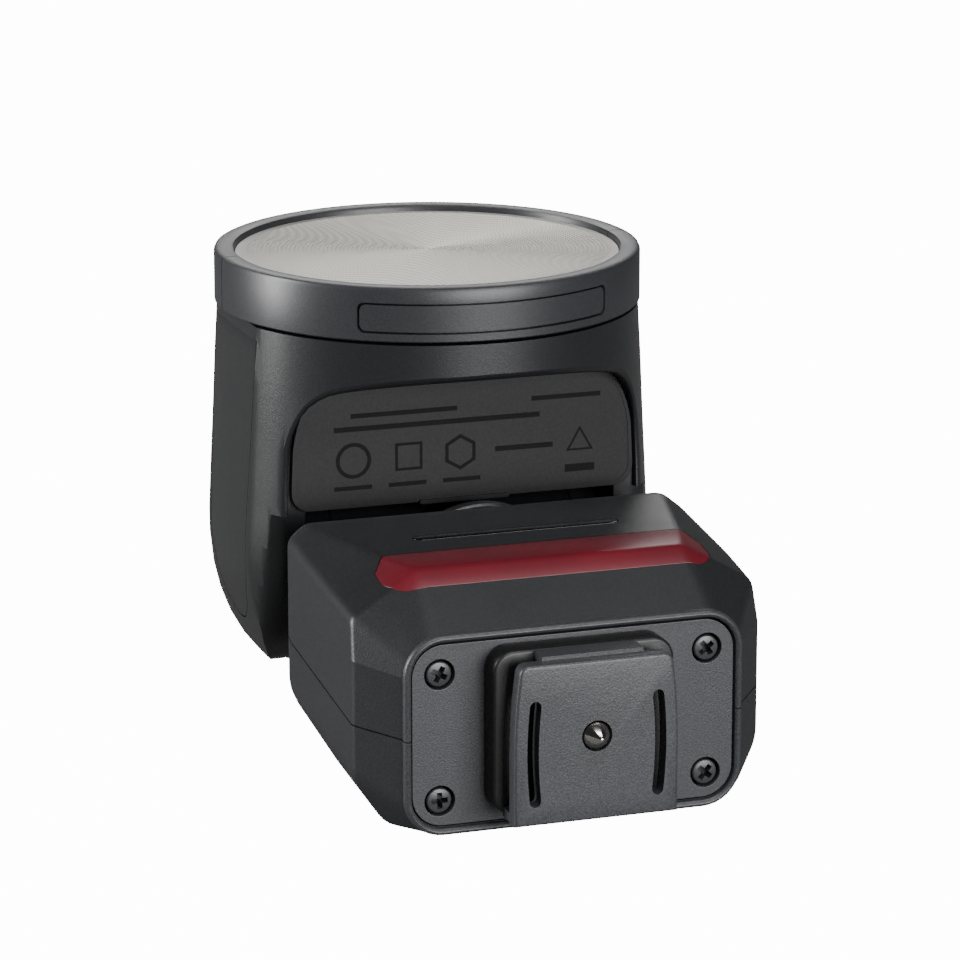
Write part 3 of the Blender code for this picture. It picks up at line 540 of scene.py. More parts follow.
def half_of(bm, side):
    """The part of a body piece above (1) or below (-1) the parting line."""
    normal = Vector((0, -math.sin(REAR_SLOPE), math.cos(REAR_SLOPE)))
    point = Vector((0, RIM_Y, PARTING_Z)) + normal * side * FINE
    cut = bmesh.ops.bisect_plane(bm, geom=[*bm.verts, *bm.edges, *bm.faces], plane_co=point,
                                 plane_no=normal * -side, clear_outer=True)["geom_cut"]
    bmesh.ops.edgenet_fill(bm, edges=[e for e in cut if isinstance(e, bmesh.types.BMEdge)])
    bmesh.ops.recalc_face_normals(bm, faces=bm.faces)
    return bm


def body_form():
    """The whole hollow body: near slopes, faceted sides, far face, and the inside."""
    outer, inside = body_rings()
    return loft(outer + inside, closed=True)


def make_rim_bead():
    """The half-round bead round the shoe plate, a ring in two halves."""
    section = ((0.86, 0.74), (0.86, 0.5), (0.8, 0.24), (0.64, 0.07), (0.45, 0.0), (0.26, 0.06), (0.1, 0.22),
               (0.02, 0.44), (0.0, 0.74))
    for name, side in (("front", 1), ("rear", -1)):
        bm = half_of(loft([rim_ring(inset, y) for inset, y in section], closed=True), side)
        piece("rim_bead_" + name, bm, LOOK["shoe"], "body", "shoe_nylon", name + "_shell")


def strip_outline(grow):
    """The assist window seen from the front: it wraps onto the corner facets at both ends."""
    ridge, wide = 15.2, 18.9 + grow
    right = [(17.3 + grow, 21.0 + grow), (wide, 18.6)]
    right += arc((ridge, 16.4 + grow), (wide - ridge, 3.5 + 2 * grow), 0, -90, 10)
    return [(-x, y) for x, y in right] + [(x, y) for x, y in reversed(right)]


def make_shells():
    front = half_of(body_form(), 1)
    y_low, y_high = reach("charging_port")
    port = block((20, y_low.y - SEAM, y_low.z - SEAM), (30, y_high.y + SEAM, y_high.z + SEAM), 1.6, 0)
    badge_low, badge_high = reach("front_badge")
    badge = block((badge_low.x - FINE, badge_low.y - FINE, badge_low.z),
                  (badge_high.x + FINE, badge_high.y + FINE, 20), 0.85, 2)
    front = carve(front, slab(strip_outline(FINE), 9, 20, "Z"), port, badge)
    piece("front_shell_skin", front, LOOK["body"], "body", "body_abs", "front_shell", flat=True)
    rear = half_of(body_form(), -1)
    width, depth = (half + SEAM for half in PANEL_HALF)
    opening = block((-width, -depth, -5), (width, depth, PANEL_BACK), 2.1, 2, 10)
    rear = carve(rear, onto_panel(opening))
    piece("rear_shell_skin", rear, LOOK["body"], "body", "body_abs", "rear_shell", flat=True)


def make_assist_window():
    bm = carve(slab(strip_outline(0), 12.3, 20, "Z"), body_form_closed(), keep=True)
    round_edges(bm, 0.12, 2, 25)
    piece("assist_window_lens", bm, LOOK["red"], "body", "red_acrylic", "assist_window")


def body_form_closed():
    """The body's outside as one filled solid, for trimming what lies flush with it."""
    outer, _ = body_rings()
    return loft(outer[3:])


def make_badge():
    low, high = reach("front_badge")
    bm = block((low.x, low.y, low.z), (high.x, high.y, high.z + 0.02), 0.75, 2)
    round_edges(bm, 0.08, 2, 60)
    piece("front_badge_inlay", bm, LOOK["gloss"], "body", "gloss_black", "front_badge")


# ---------------------------------------------------------------- shoe

SCREW_PLACES = [reach(f"plate_screw_{number}") for number in (1, 2, 3, 4)]
SCREW_TURNS = (28, 52, 88, 40)
SCREW_BORE = 1.72
CONTACT_BORE = 1.72
STEM_HALF = 6.0


def make_shoe_plate():
    low, high = reach("shoe_plate")
    bm = block(low, high, RIM_CORNER - 1.0, 1, 12)
    holes = []
    for screw_low, screw_high in SCREW_PLACES:
        x, z = (screw_low.x + screw_high.x) / 2, (screw_low.z + screw_high.z) / 2
        holes.append(shift(rod(SCREW_BORE, low.y - 3, high.y + 3, "Y"), x=x, z=z))
    mouth = STEM_HALF + 0.2
    holes.append(block((-mouth, low.y - 3, -mouth), (mouth, high.y + 3, mouth)))
    bm = carve(bm, *holes)
    round_edges(bm, 0.12, 2, 60)
    piece("shoe_plate_face", bm, LOOK["shoe"], "body", "shoe_nylon", "shoe_plate", flat=True)


def make_screws():
    for number, ((low, high), angle) in enumerate(zip(SCREW_PLACES, SCREW_TURNS), 1):
        x, z = (low.x + high.x) / 2, (low.z + high.z) / 2
        radius, top = high.x - x, low.y
        profile = ((0, top - 0.12), (radius * 0.55, top - 0.08), (radius - 0.12, top + 0.04),
                   (radius, top + 0.16), (radius, top + 1.7), (0.75, top + 1.8), (0.75, top + 3.4),
                   (0, top + 3.4))
        bm = spun(profile, "Y", 40)
        arms = []
        for quarter in (0, 90):
            slot = block((-0.92, top - 1, -0.3), (0.92, top + 1.5, 0.3))
            arms.append(turn(slot, math.radians(angle + quarter), "Y"))
        bm = shift(carve(bm, *arms), x=x, z=z)
        piece(f"plate_screw_head_{number}", bm, LOOK["screw"], "body", "black_steel",
              f"plate_screw_{number}")


FOOT_HALF = 9.3
FOOT_TOP = 8.45
FOOT_BOTTOM = -9.43
FOOT_THICKNESS = 2.0
CHANNEL_END = 4.1               # the rails slide in between the plate and this
PEDESTAL_BACK = 6.95
PEDESTAL_TOP = 9.0
WEB_HALF = 5.75


def foot_outline():
    """Straight sides that draw in towards the top, with small rounded top corners."""
    right = [(FOOT_HALF, FOOT_BOTTOM)]
    for z in (-1.5, 0, 1.5, 3.0, 4.5, 6.0, 7.35):
        right.append((FOOT_HALF - 0.6 * ((z + 1.5) / 9) ** 2, z))
    x = right[-1][0]
    right += arc((x - 1.1, FOOT_TOP - 1.1), (1.1, 1.1), 0, 90, 8)[1:]
    return right + [(-x, z) for x, z in reversed(right)]


def arc_slot(side):
    """A slot that bows outwards, with round ends."""
    bow, half, middle = 48.0, 0.65, -1.42
    outer = arc((7.25 - bow, middle), (bow + half, bow + half), -6.3, 6.3, 12)
    inner = arc((7.25 - bow, middle), (bow - half, bow - half), 6.3, -6.3, 12)
    top_end, low_end = ((Vector(outer[i]) + Vector(inner[-1 - i])) / 2 for i in (-1, 0))
    top_round = arc(top_end, (half, half), 6, 174, 8)[1:-1]
    low_round = arc(low_end, (half, half), 186, 354, 8)[1:-1]
    outline = outer + top_round + inner + low_round
    return slab([(side * x, z) for x, z in outline], -1, FOOT_THICKNESS + 0.7)


def round_rim(bm, y, width, segments):
    """Rounds the edges of the face that lies at one depth."""
    rim = [e for e in bm.edges if all(abs(v.co.y - y) < 1e-4 for v in e.verts)]
    bmesh.ops.bevel(bm, geom=rim, offset=width, segments=segments, profile=0.5, affect="EDGES", material=-1)


def make_foot():
    """The accessory foot: plate, web and pedestal, with the rail channels open at the top."""
    low, high = reach("hot_shoe_foot")
    plate = slab(foot_outline(), 0, FOOT_THICKNESS)
    round_rim(plate, 0, 0.34, 4)
    round_rim(plate, FOOT_THICKNESS, 0.25, 3)
    web = block((-WEB_HALF, FOOT_THICKNESS - 0.5, FOOT_BOTTOM + 0.1),
                (WEB_HALF, CHANNEL_END + 0.1, PEDESTAL_TOP - 0.1))
    stop = block((-FOOT_HALF + 0.1, FOOT_THICKNESS - 0.5, FOOT_BOTTOM + 0.1),
                 (FOOT_HALF - 0.1, CHANNEL_END + 0.1, FOOT_BOTTOM + 1.1))
    bm = carve(plate, web, stop, join=True)
    bm = carve(bm, arc_slot(-1), arc_slot(1), rod(CONTACT_BORE, -2, 9.2, "Y"))
    piece("hot_shoe_foot_plate", bm, LOOK["shoe"], "body", "shoe_nylon", "hot_shoe_foot")
    pedestal = block((low.x, CHANNEL_END, FOOT_BOTTOM), (high.x, PEDESTAL_BACK, PEDESTAL_TOP), 2.4, 1, 10)
    round_rim(pedestal, CHANNEL_END, 0.4, 4)
    stem = block((-STEM_HALF, CHANNEL_END + 1, -STEM_HALF), (STEM_HALF, high.y, STEM_HALF))
    pedestal = carve(carve(pedestal, stem, join=True), rod(CONTACT_BORE, -2, 9.2, "Y"))
    # The pedestal takes the darker nylon with painted shade
    piece("hot_shoe_foot_pedestal", pedestal, LOOK["pedestal"], "body", "shoe_nylon")


def make_contact():
    low, high = reach("contact_pin")
    radius = high.x
    profile = ((0, low.y), (0.16, low.y + 0.03), (0.32, low.y + 0.12), (radius - 0.06, -0.02), (radius, 0.1),
               (radius, high.y), (0, high.y))
    piece("contact_pin_tip", spun(profile, "Y", 64), LOOK["steel"], "contact", "plated_steel", "contact_pin")


# ---------------------------------------------------------------- rear controls

PANEL_Y = 22.0
PANEL_HALF = (17.0, 11.0)
PANEL_FACE = 0.9                # how far the panel's face lies in from the shell's
PANEL_BACK = 2.1
GLASS_DEPTH = 5.0               # half the display window's height


def onto_panel(bm):
    """From the panel's own axes, +Z into the body, to its place in the rear shell."""
    return shift(turn(bm, REAR_SLOPE, "X"), y=PANEL_Y, z=rear_z(PANEL_Y))


def panel_place(node):
    """The middle and the half sizes of a node in the panel's own axes."""
    low, high = reach(node)
    middle = (low + high) / 2 - Vector((0, PANEL_Y, rear_z(PANEL_Y)))
    return Matrix.Rotation(-REAR_SLOPE, 3, "X") @ middle, (high - low) / 2


def key_cap(radius, top, back, dish):
    """A moulded key: rounded edge and a shallow dish for the fingertip."""
    return spun(((0, back), (radius, back), (radius, top + 0.3), (radius - 0.06, top + 0.14),
                 (radius - 0.2, top + 0.03), (radius - 0.4, top), (radius * 0.7, top + dish * 0.3),
                 (radius * 0.4, top + dish * 0.8), (0, top + dish)), "Z", 56)


def make_control_panel():
    width, depth = PANEL_HALF
    plate = block((-width, -depth, PANEL_FACE), (width, depth, PANEL_BACK), 1.9, 2, 10)
    flange = block((-width - 0.8, -depth - 0.8, PANEL_BACK - 0.35),
                   (width + 0.8, depth + 0.8, PANEL_BACK), 2.6, 2)
    bm = carve(plate, flange, join=True)
    holes = []
    for node in ("dial", "mode_button", "power_button", "test_button"):
        middle, half = panel_place(node)
        holes.append(shift(rod(half.x + SEAM, -2, 6, "Z", 64), x=middle.x, y=middle.y))
    middle, half = panel_place("display_window")
    holes.append(block((middle.x - half.x - FINE, middle.y - GLASS_DEPTH - FINE, -2),
                       (middle.x + half.x + FINE, middle.y + GLASS_DEPTH + FINE, 6), 0.5, 2))
    bm = carve(bm, *holes)
    piece("control_panel_face", onto_panel(bm), LOOK["panel"], "body", "gloss_black", "control_panel",
          flat=True)
    glass = block((middle.x - half.x, middle.y - GLASS_DEPTH, PANEL_FACE),
                  (middle.x + half.x, middle.y + GLASS_DEPTH, PANEL_FACE + 0.9), 0.45, 2)
    round_edges(glass, 0.1, 2, 60)
    piece("display_glass", onto_panel(glass), LOOK["gloss"], "body", "gloss_black", "display_window",
          flat=True)


def make_dial():
    """A ring with a finely ribbed edge that turns round the set key."""
    middle, half = panel_place("dial")
    outer, inner, top, back = half.x, 3.9, PANEL_FACE - 0.6, PANEL_FACE + 1.5
    ribs, steps = 48, 288
    bm = spun(((inner, back), (inner, top + 0.2), (inner + 0.2, top), (outer - 1.5, top),
               (outer - 1.1, top + 0.12), (outer - 0.45, top + 0.12), (outer - 0.1, top + 0.4),
               (outer - 0.1, back)), "Z", steps)
    for vert in bm.verts:
        radius = vert.co.xy.length
        if radius > outer - 0.5 and vert.co.z < back - 0.1:
            wave = math.cos(ribs * math.atan2(vert.co.y, vert.co.x))
            grown = (radius + 0.1 * wave) / radius
            vert.co.x *= grown
            vert.co.y *= grown
    shift(bm, x=middle.x, y=middle.y)
    piece("dial_ring", onto_panel(bm), LOOK["key"], "dial", "key_rubber", "dial")


def make_keys():
    for node, proud, dish in (("set_button", 0.7, 0.25), ("mode_button", 0.5, 0.18),
                              ("power_button", 0.5, 0.18), ("test_button", 0.5, 0.18)):
        middle, half = panel_place(node)
        cap = key_cap(half.x, PANEL_FACE - proud, PANEL_FACE + 2.4, dish)
        shift(cap, x=middle.x, y=middle.y)
        piece(node + "_cap", onto_panel(cap), LOOK["key"], node, "key_rubber", node)
    face = PANEL_FACE - 0.5 + 0.1
    back = face + 0.12
    marks = {"mode_button": block((-0.75, -0.14, face), (0.75, 0.14, back), 0.12, 2),
             "power_button": spun(((0.5, face), (0.72, face), (0.72, back), (0.5, back)), "Z", 40),
             "test_button": spun(((0, face), (0.36, face), (0.36, back), (0, back)), "Z", 32)}
    for node, bm in marks.items():
        middle, _ = panel_place(node)
        shift(bm, x=middle.x, y=middle.y)
        piece(node + "_mark", onto_panel(bm), LOOK["mark"], node, "key_rubber", node)


def make_port():
    """The charging socket's shell with a tongue inside."""
    low, high = reach("charging_port")
    half_y, half_z = (high.y - low.y) / 2, (high.z - low.z) / 2
    y, z = (low.y + high.y) / 2, (low.z + high.z) / 2
    shell = block(low, high, 1.45, 0, 10)
    mouth = block((low.x + 1, y - half_y + 0.3, z - half_z + 0.3),
                  (high.x + 5, y + half_y - 0.3, z + half_z - 0.3), 1.2, 0, 10)
    bm = carve(shell, mouth)
    piece("charging_port_shell", bm, LOOK["steel"], "body", "plated_steel", "charging_port")
    tongue = block((low.x + 0.9, y - 3.2, z - 0.35), (high.x - 0.9, y + 3.2, z + 0.35), 0.2, 0, 3)
    piece("charging_port_tongue", tongue, LOOK["acetal"], "body", "acetal", "charging_port")


# ---------------------------------------------------------------- neck

def make_neck():
    """The knuckle that tilts between the arms, on a neck that swivels in the body."""
    low, high = reach("neck_knuckle")
    half, radius = high.x, 10.9
    end = ((radius, half - 4.0), (radius - 0.2, half - 3.8), (radius - 0.2, half - 3.4),
           (radius, half - 3.2), (radius, half - 0.5), (radius - 0.12, half - 0.14), (radius - 0.5, half),
           (7.3, half), (7.3, half - 1.6), (PIVOT_RADIUS, half - 1.6))
    barrel = spun([(r, -x) for r, x in reversed(end)] + list(end), "X", 120)
    start = low.y - HINGE.y
    face = start + 6.0
    neck = spun(((0, start), (6.7, start), (6.7, face), (10.7, face), (10.95, face + 0.25),
                 (10.95, face + 1.6), (10.6, face + 2.0), (9.2, face + 2.6), (8.5, face + 3.3),
                 (8.2, face + 4.2), (8.2, -3.5), (0, -3.5)), "Y", 96)
    bore = rod(PIVOT_RADIUS, -30, 30, "X")
    bm = carve(carve(barrel, neck, join=True), bore)
    shift(bm, y=HINGE.y, z=HINGE.z)
    piece("neck_knuckle_moulding", bm, LOOK["head"], "neck", "head_abs", "neck_knuckle")


# ---------------------------------------------------------------- head

def half_width(z):
    """The head's half-width along X at a height, between the drawn stations."""
    stations = sorted(HEAD_FLARE)
    for (z0, w0), (z1, w1) in zip(stations, stations[1:]):
        if z <= z1:
            return w0 + (w1 - w0) * max(z - z0, 0) / (z1 - z0)
    return stations[-1][1]


def head_section(z, inset=0.0, count=144):
    """An ellipse whose left and right sides flatten for the covers, with a slight crown there."""
    wide, deep = half_width(z) - inset, HEAD_RADIUS - inset
    flat = wide * SIDE_FLAT
    ring = []
    for step in range(count):
        angle = math.tau * step / count
        x = wide * math.cos(angle)
        y = deep * math.sin(angle)
        if abs(x) > flat:
            edge = deep * math.sqrt(1 - SIDE_FLAT * SIDE_FLAT)
            x = math.copysign(flat + CROWN * (1 - (y / edge) ** 2), x)
        ring.append((x, y + AXIS_Y, z))
    return ring


def head_form(inset=0.0):
    """The head's outside, with a ring at each station and one halfway to the next."""
    levels = []
    for (z0, _), (z1, _) in zip(HEAD_FLARE, HEAD_FLARE[1:]):
        levels.append(z0)
        levels.append((z0 + z1) / 2)
    levels.append(HEAD_FLARE[-1][0])
    return loft([head_section(z, inset) for z in levels])


def arm_outline(half, bottom, shoulder, shrink=0.0):
    """The arm seen from the side: straight sides and an elliptical lower end."""
    half, bottom = half - shrink, bottom + shrink
    return arc((0, shoulder), (half, shoulder - bottom), 180, 360, 32)


# How far the arms draw in, seen from the side, at each distance out from the middle
ARM_TAPER = ((20.6, 0), (21.6, 0.2), (22.6, 0.65), (23.6, 1.4), (24.6, 2.5), (25.6, 4.2), (26.6, 6.5))


def side_view_form(half, bottom, shoulder, shoulders=True):
    """What the head keeps seen from the side, drawn in towards the arms' outer faces."""
    rings = []
    for x, shrink in [(-x, shrink) for x, shrink in reversed(ARM_TAPER)] + list(ARM_TAPER):
        outline = arm_outline(half, bottom, shoulder, shrink)
        if shoulders:
            outline += [(half - shrink, HEAD_FLOOR), (30, HEAD_FLOOR), (30, 50), (-30, 50),
                        (-30, HEAD_FLOOR), (-half + shrink, HEAD_FLOOR)]
        else:
            outline += [(half - shrink, 34), (-half + shrink, 34)]
        rings.append([(x, AXIS_Y + y, z) for y, z in outline])
    return loft(rings)


POCKET = ((20.9, -12), (20.9, 14), (20.85, 18), (20.6, 22.3), (20.35, 23.7), (20.0, 25.0), (19.55, 26.2),
          (18.95, 27.3), (18.1, 28.25), (17.1, 29.0), (15.6, 29.6), (13.3, 30.15), (10.6, 30.6),
          (6.5, 31.0), (0, POCKET_CEILING))


def pocket_outline(grow=0.0):
    """The pocket's outline seen from the front, grown outwards by a little."""
    right = []
    for x, z in POCKET:
        share = min(max((z - 20) / 9, 0), 1)
        right.append((x + grow * (1 - share * 0.6) if x else 0, z + grow * share))
    return right + [(-x, z) for x, z in reversed(right[:-1])]


def pocket_form():
    """The pocket under the head, with a lip that rounds over onto the housing."""
    radius, rings, steps = 1.0, [], 6
    rings.append([(x, AXIS_Y - CHORD, z) for x, z in pocket_outline()])
    for step in range(steps + 1):
        angle = math.radians(82) * step / steps
        grow, inset = radius * (1 - math.cos(angle)), radius * (1 - math.sin(angle))
        ring = []
        for x, z in pocket_outline(grow):
            across = min(abs(x) / (half_width(z) - inset), 0.9)
            out = (HEAD_RADIUS - inset) * math.sqrt(1 - across * across)
            ring.append((x, AXIS_Y - max(out, CHORD + 0.1 + 0.05 * step), z))
        rings.append(ring)
    rings.append([(x, AXIS_Y - 40, z) for x, z in pocket_outline(radius)])
    return loft(rings)


def make_head_shell():
    bm = head_form()
    bm = carve(bm, side_view_form(ARM_HALF, ARM_BOTTOM, ARM_SHOULDER), keep=True)
    cavity = shift(rod(20.9, POCKET_CEILING + WALL, 45, "Z", 96), y=AXIS_Y)
    lower = carve(shift(rod(20.7, HEAD_FLOOR + WALL, POCKET_CEILING + WALL + 1, "Z", 96), y=AXIS_Y),
                  block((-40, AXIS_Y - CHORD + WALL, 0), (40, AXIS_Y + 40, 60)), keep=True)
    between = block((-ARM_INNER, AXIS_Y - 40, -20), (ARM_INNER, AXIS_Y + 40, HEAD_FLOOR + 0.2))
    sweep = shift(rod(11.2, -18.5, 18.5, "X", 64), y=AXIS_Y, z=HINGE.z)
    pivot = shift(rod(PIVOT_RADIUS, -21.8, 21.8, "X"), y=AXIS_Y, z=HINGE.z)
    bm = carve(bm, pocket_form(), cavity, lower, between, sweep, pivot)
    seats = []
    for side in (-1, 1):
        seat = side_view_form(COVER_HALF + SEAM, COVER_BOTTOM - SEAM, COVER_SHOULDER, False)
        seat = carve(seat, head_form(COVER_DEPTH + SEAM))
        seats.append(carve(seat, block(sorted_corner(side), sorted_corner(side, True)), keep=True))
    bm = carve(bm, *seats)
    piece("head_shell_housing", bm, LOOK["head"], "head", "head_abs", "head_shell")


def sorted_corner(side, high=False):
    """The low or high corner of a large box on one side of the head."""
    xs = sorted((side * 12, side * 60))
    return (xs[1] if high else xs[0], AXIS_Y + (60 if high else -60), 60 if high else -60)


def make_side_covers():
    for name, side in (("left", -1), ("right", 1)):
        outline = side_view_form(COVER_HALF, COVER_BOTTOM, COVER_SHOULDER, False)
        bm = carve(head_form(), outline, keep=True)
        bm = carve(bm, head_form(COVER_DEPTH))
        bm = carve(bm, block(sorted_corner(side), sorted_corner(side, True)), keep=True)
        round_edges(bm, 0.08, 2, 60)
        piece("side_cover_skin_" + name, bm, LOOK["head"], "head", "head_abs", "side_cover_" + name)


def make_label():
    """A plain plate that fills the pocket, with a fine raised edge and a lip at its foot."""
    low, high = reach("label_plate")
    outline = label_outline(0.3)
    bm = slab(outline, low.y + 0.08, high.y)
    rim = carve(slab(outline, low.y, low.y + 0.3), slab(label_outline(0.75), low.y - 1, high.y + 1))
    lip = block((-5.4, low.y - 0.35, low.z - 0.1), (5.4, low.y + 0.3, low.z + 0.4), 0.25)
    bm = carve(bm, rim, lip, join=True)
    piece("label_plate_blank", bm, LOOK["label"], "head", "label_film", "label_plate", flat=True)
    make_label_print(low.y + 0.08)


def make_label_print(face):
    """Plain bars and outlined shapes in dark ink, where a maker would print its particulars."""
    back, front = face - 0.03, face + 0.02
    bars = ((-13.5, -0.8, 25.6, 0.55), (8.2, 16.6, 26.0, 0.55), (-15.5, 9.2, 24.1, 0.6),
            (3.8, 10.8, 20.4, 0.6), (12.3, 15.9, 17.4, 0.9), (-15.5, -11.0, 17.2, 0.5),
            (-9.0, -4.5, 17.2, 0.5), (-2.5, 2.0, 17.2, 0.5))
    marks = [block((x0, back, z - high / 2), (x1, front, z + high / 2)) for x0, x1, z, high in bars]
    for corners, x, radius in ((40, -13.2, 2.1), (4, -6.6, 2.3), (6, -0.4, 2.1), (3, 14.1, 1.9)):
        start = 45 if corners == 4 else 90
        sheets = [slab(arc((x, 20.4), (size, size), start, start + 360, corners)[:-1], back - more,
                       front + more) for size, more in ((radius, 0), (radius - 0.45, 1))]
        marks.append(carve(*sheets))
    piece("label_print", carve(*marks, join=True), LOOK["ink"], "head", "label_film", flat=True)


def label_outline(inset):
    """The pocket's outline drawn in, closed along the bottom with rounded corners."""
    low, _ = reach("label_plate")
    points = [(x, z) for x, z in pocket_outline(-inset) if z > low.z + 3]
    right = [p for p in points if p[0] >= 0]
    corner = arc((right[0][0] - 2.2, low.z + inset + 2.0), (2.2, 2.2), 0, -90, 8)
    right = corner[::-1] + right
    return right + [(-x, z) for x, z in reversed(right) if x]


def make_ring():
    top, bottom, inner, lip = RING_HIGH.z, RING_LOW.z, RING_INNER, 38.9
    outer = RING_RADIUS
    profile = ((21.4, bottom), (outer - 0.15, bottom), (outer, bottom + 0.15), (outer, top - 0.5),
               (outer - 0.15, top - 0.15), (outer - 0.5, top), (inner + 0.5, top),
               (inner + 0.15, top - 0.12), (inner, top - 0.4), (inner, lip), (21.4, lip))
    for name, start in (("near", -math.pi), ("far", 0.0)):
        seam = FINE / outer
        bm = spun(profile, "Z", 72, math.pi - 2 * seam, start + seam)
        if name == "near":
            bm = carve(bm, panel_block(outer - 0.9, outer + 2, 0.24))
        shift(bm, y=AXIS_Y)
        piece("ring_half_" + name, bm, LOOK["ring"], "head", "head_abs", "ring_" + name)
    bm = panel_block(outer - 0.8, outer - 0.1, 0.0)
    piece("ring_panel_inset", shift(bm, y=AXIS_Y), LOOK["ring"], "head", "gloss_black", "ring_panel")


def panel_block(inner, outer, grow):
    low, high = reach("ring_panel")
    half = math.asin(high.x / (RING_RADIUS - 0.25)) + grow / RING_RADIUS
    profile = ((inner, low.z - grow), (outer, low.z - grow), (outer, high.z + grow), (inner, high.z + grow))
    bm = spun(profile, "Z", 40, 2 * half, -math.pi / 2 - half)
    ends = []
    for edge in bm.edges:
        a, b = (vert.co for vert in edge.verts)
        level = abs(a.z - b.z) < 1e-3 and (a.xy - b.xy).length > 0.5
        if level and abs(a.xy.length - b.xy.length) > 0.3 and edge.calc_face_angle() > 1:
            ends.append(edge)
    bmesh.ops.bevel(bm, geom=ends, offset=0.8, segments=5, profile=0.5, affect="EDGES", material=-1)
    return bm


def make_lens():
    """A flat fresnel: concentric ribs cut into its outer face, finer than they can be felt."""
    low, high = LENS_LOW.z, LENS_HIGH.z
    ribs, pitch, depth = 44, LENS_RADIUS / 46, 0.13
    profile = [(0, low), (LENS_RADIUS, low), (LENS_RADIUS, high - 0.1)]
    for rib in range(ribs, 0, -1):
        profile += [(rib * pitch, high - depth), ((rib - 0.85) * pitch, high)]
    profile.append((0, high))
    bm = shift(spun(profile, "Z", 96), y=AXIS_Y)
    piece("fresnel_lens_disc", bm, LOOK["lens"], "head", "lens_acrylic", "fresnel_lens")


# ---------------------------------------------------------------- stage

def paint_frame_nodes():
    """Frame nodes that show as they are get their finish from the same materials."""
    looks = {"body_abs": "body", "shoe_nylon": "shoe", "head_abs": "head", "label_film": "label",
             "red_acrylic": "red", "gloss_black": "gloss", "key_rubber": "key", "lens_acrylic": "lens",
             "plated_steel": "steel", "black_steel": "screw", "bright_aluminium": "bright", "board": "board",
             "cell_wrap": "cell", "quartz": "quartz", "acetal": "acetal"}
    for entry in frame["record"]["subparts"]:
        node = frame["nodes"][entry["node"]]
        node.data.materials.clear()
        node.data.materials.append(LOOK[looks[entry["material_slot"]]])


PAPER_WHITE = 14.0              # glow that only the view sees, so white paper doesn't flatten the shading


def make_floor():
    """A pale sheet that runs level under the object and curves up far behind it."""
    bm = bmesh.new()
    profile = [(-900, 0), (500, 0)] + arc((500, 400), (400, 400), -90, 0, 12)[1:] + [(900, 1200)]
    rows = [bm.verts.new((-1500, y, z)) for y, z in profile]
    edges = [bm.edges.new((a, b)) for a, b in zip(rows, rows[1:])]
    grown = bmesh.ops.extrude_edge_only(bm, edges=edges)["geom"]
    bmesh.ops.translate(bm, vec=(3000, 0, 0), verts=[v for v in grown if isinstance(v, bmesh.types.BMVert)])
    bmesh.ops.recalc_face_normals(bm, faces=bm.faces)
    bmesh.ops.scale(bm, vec=(MM, MM, MM), verts=bm.verts)
    mesh = bpy.data.meshes.new("floor")
    bm.to_mesh(mesh)
    bm.free()
    mesh.shade_smooth()
    made, tree, shader = start_material("paper_sweep", base_color=srgb("787878"), roughness=0.9)
    seen = add(tree, "ShaderNodeLightPath").outputs["Is Camera Ray"]
    glow = add(tree, "ShaderNodeMath", {0: seen, 1: PAPER_WHITE}, operation="MULTIPLY")
    tree.links.new(glow.outputs["Value"], shader.inputs["Emission Strength"])
    shader.inputs["Emission Color"].default_value = srgb("ffffff")
    mesh.materials.append(made)
    floor = bpy.data.objects.new("floor", mesh)
    bpy.context.scene.collection.objects.link(floor)


MIDDLE = (0, 0, 0.03)           # metres, the middle of the object, which the lights face


def softbox(name, place_at, aim_at, width, height, power):
    light = bpy.data.lights.new(name, "AREA")
    light.shape = "RECTANGLE"
    light.size, light.size_y = width, height
    light.energy = power
    made = bpy.data.objects.new(name, light)
    made.location = place_at
    made.rotation_euler = (Vector(aim_at) - Vector(place_at)).to_track_quat("-Z", "Y").to_euler()
    bpy.context.scene.collection.objects.link(made)


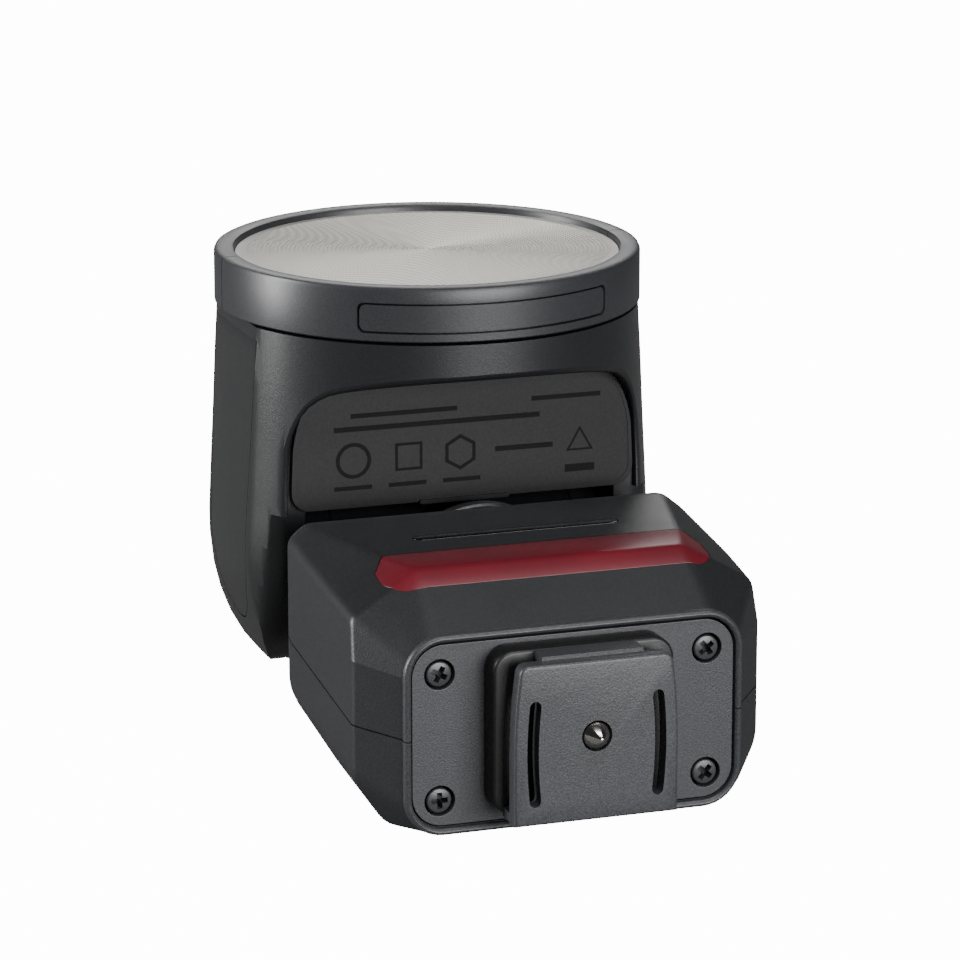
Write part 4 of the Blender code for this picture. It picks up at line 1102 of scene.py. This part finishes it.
def around(azimuth, elevation, distance):
    """A place round the object's middle: azimuth 0 is in front of the shoe, in degrees."""
    flat = math.cos(math.radians(elevation)) * distance
    return (math.sin(math.radians(azimuth)) * flat, -math.cos(math.radians(azimuth)) * flat,
            MIDDLE[2] + math.sin(math.radians(elevation)) * distance)


def make_studio():
    world = bpy.data.worlds.new("studio")
    world.use_nodes = True
    tree = world.node_tree
    seen = add(tree, "ShaderNodeLightPath").outputs["Is Camera Ray"]
    glow = add(tree, "ShaderNodeMath", {0: seen, 1: PAPER_WHITE, 2: 0.04}, operation="MULTIPLY_ADD")
    background = tree.nodes["Background"]
    background.inputs["Color"].default_value = srgb("ffffff")
    tree.links.new(glow.outputs["Value"], background.inputs["Strength"])
    bpy.context.scene.world = world
    softbox("overhead", around(5, 64, 0.8), MIDDLE, 0.7, 0.12, 4)
    softbox("left_strip", around(-107, 14, 0.7), MIDDLE, 0.08, 0.4, 6.5)
    softbox("front_fill", around(14, 9, 0.9), MIDDLE, 0.6, 0.4, 12)
    softbox("far_fill", around(163, 26, 0.9), MIDDLE, 0.35, 0.25, 1.2)


CAMERA_AZIMUTH = math.radians(-18.76)
CAMERA_ELEVATION = math.radians(14.83)
CAMERA_DISTANCE = 478.9         # mm
CAMERA_AIM = Vector((-13.21, 0, 29.35))
CAMERA_LENS = 172.5


def make_camera():
    flat = math.cos(CAMERA_ELEVATION)
    back = Vector((math.sin(CAMERA_AZIMUTH) * flat, -math.cos(CAMERA_AZIMUTH) * flat,
                   math.sin(CAMERA_ELEVATION)))
    data = bpy.data.cameras.new("camera")
    data.lens = CAMERA_LENS
    data.clip_start = 0.01
    camera = bpy.data.objects.new("camera", data)
    camera.location = ORIGIN + (CAMERA_AIM + back * CAMERA_DISTANCE) * MM
    camera.rotation_euler = (-back).to_track_quat("-Z", "Y").to_euler()
    bpy.context.scene.collection.objects.link(camera)
    bpy.context.scene.camera = camera


make_camera()
paint_frame_nodes()
make_shells()
make_rim_bead()
make_assist_window()
make_badge()
make_shoe_plate()
make_screws()
make_foot()
make_contact()
make_control_panel()
make_dial()
make_keys()
make_port()
make_neck()
make_head_shell()
make_side_covers()
make_label()
make_ring()
make_lens()
make_floor()
make_studio()
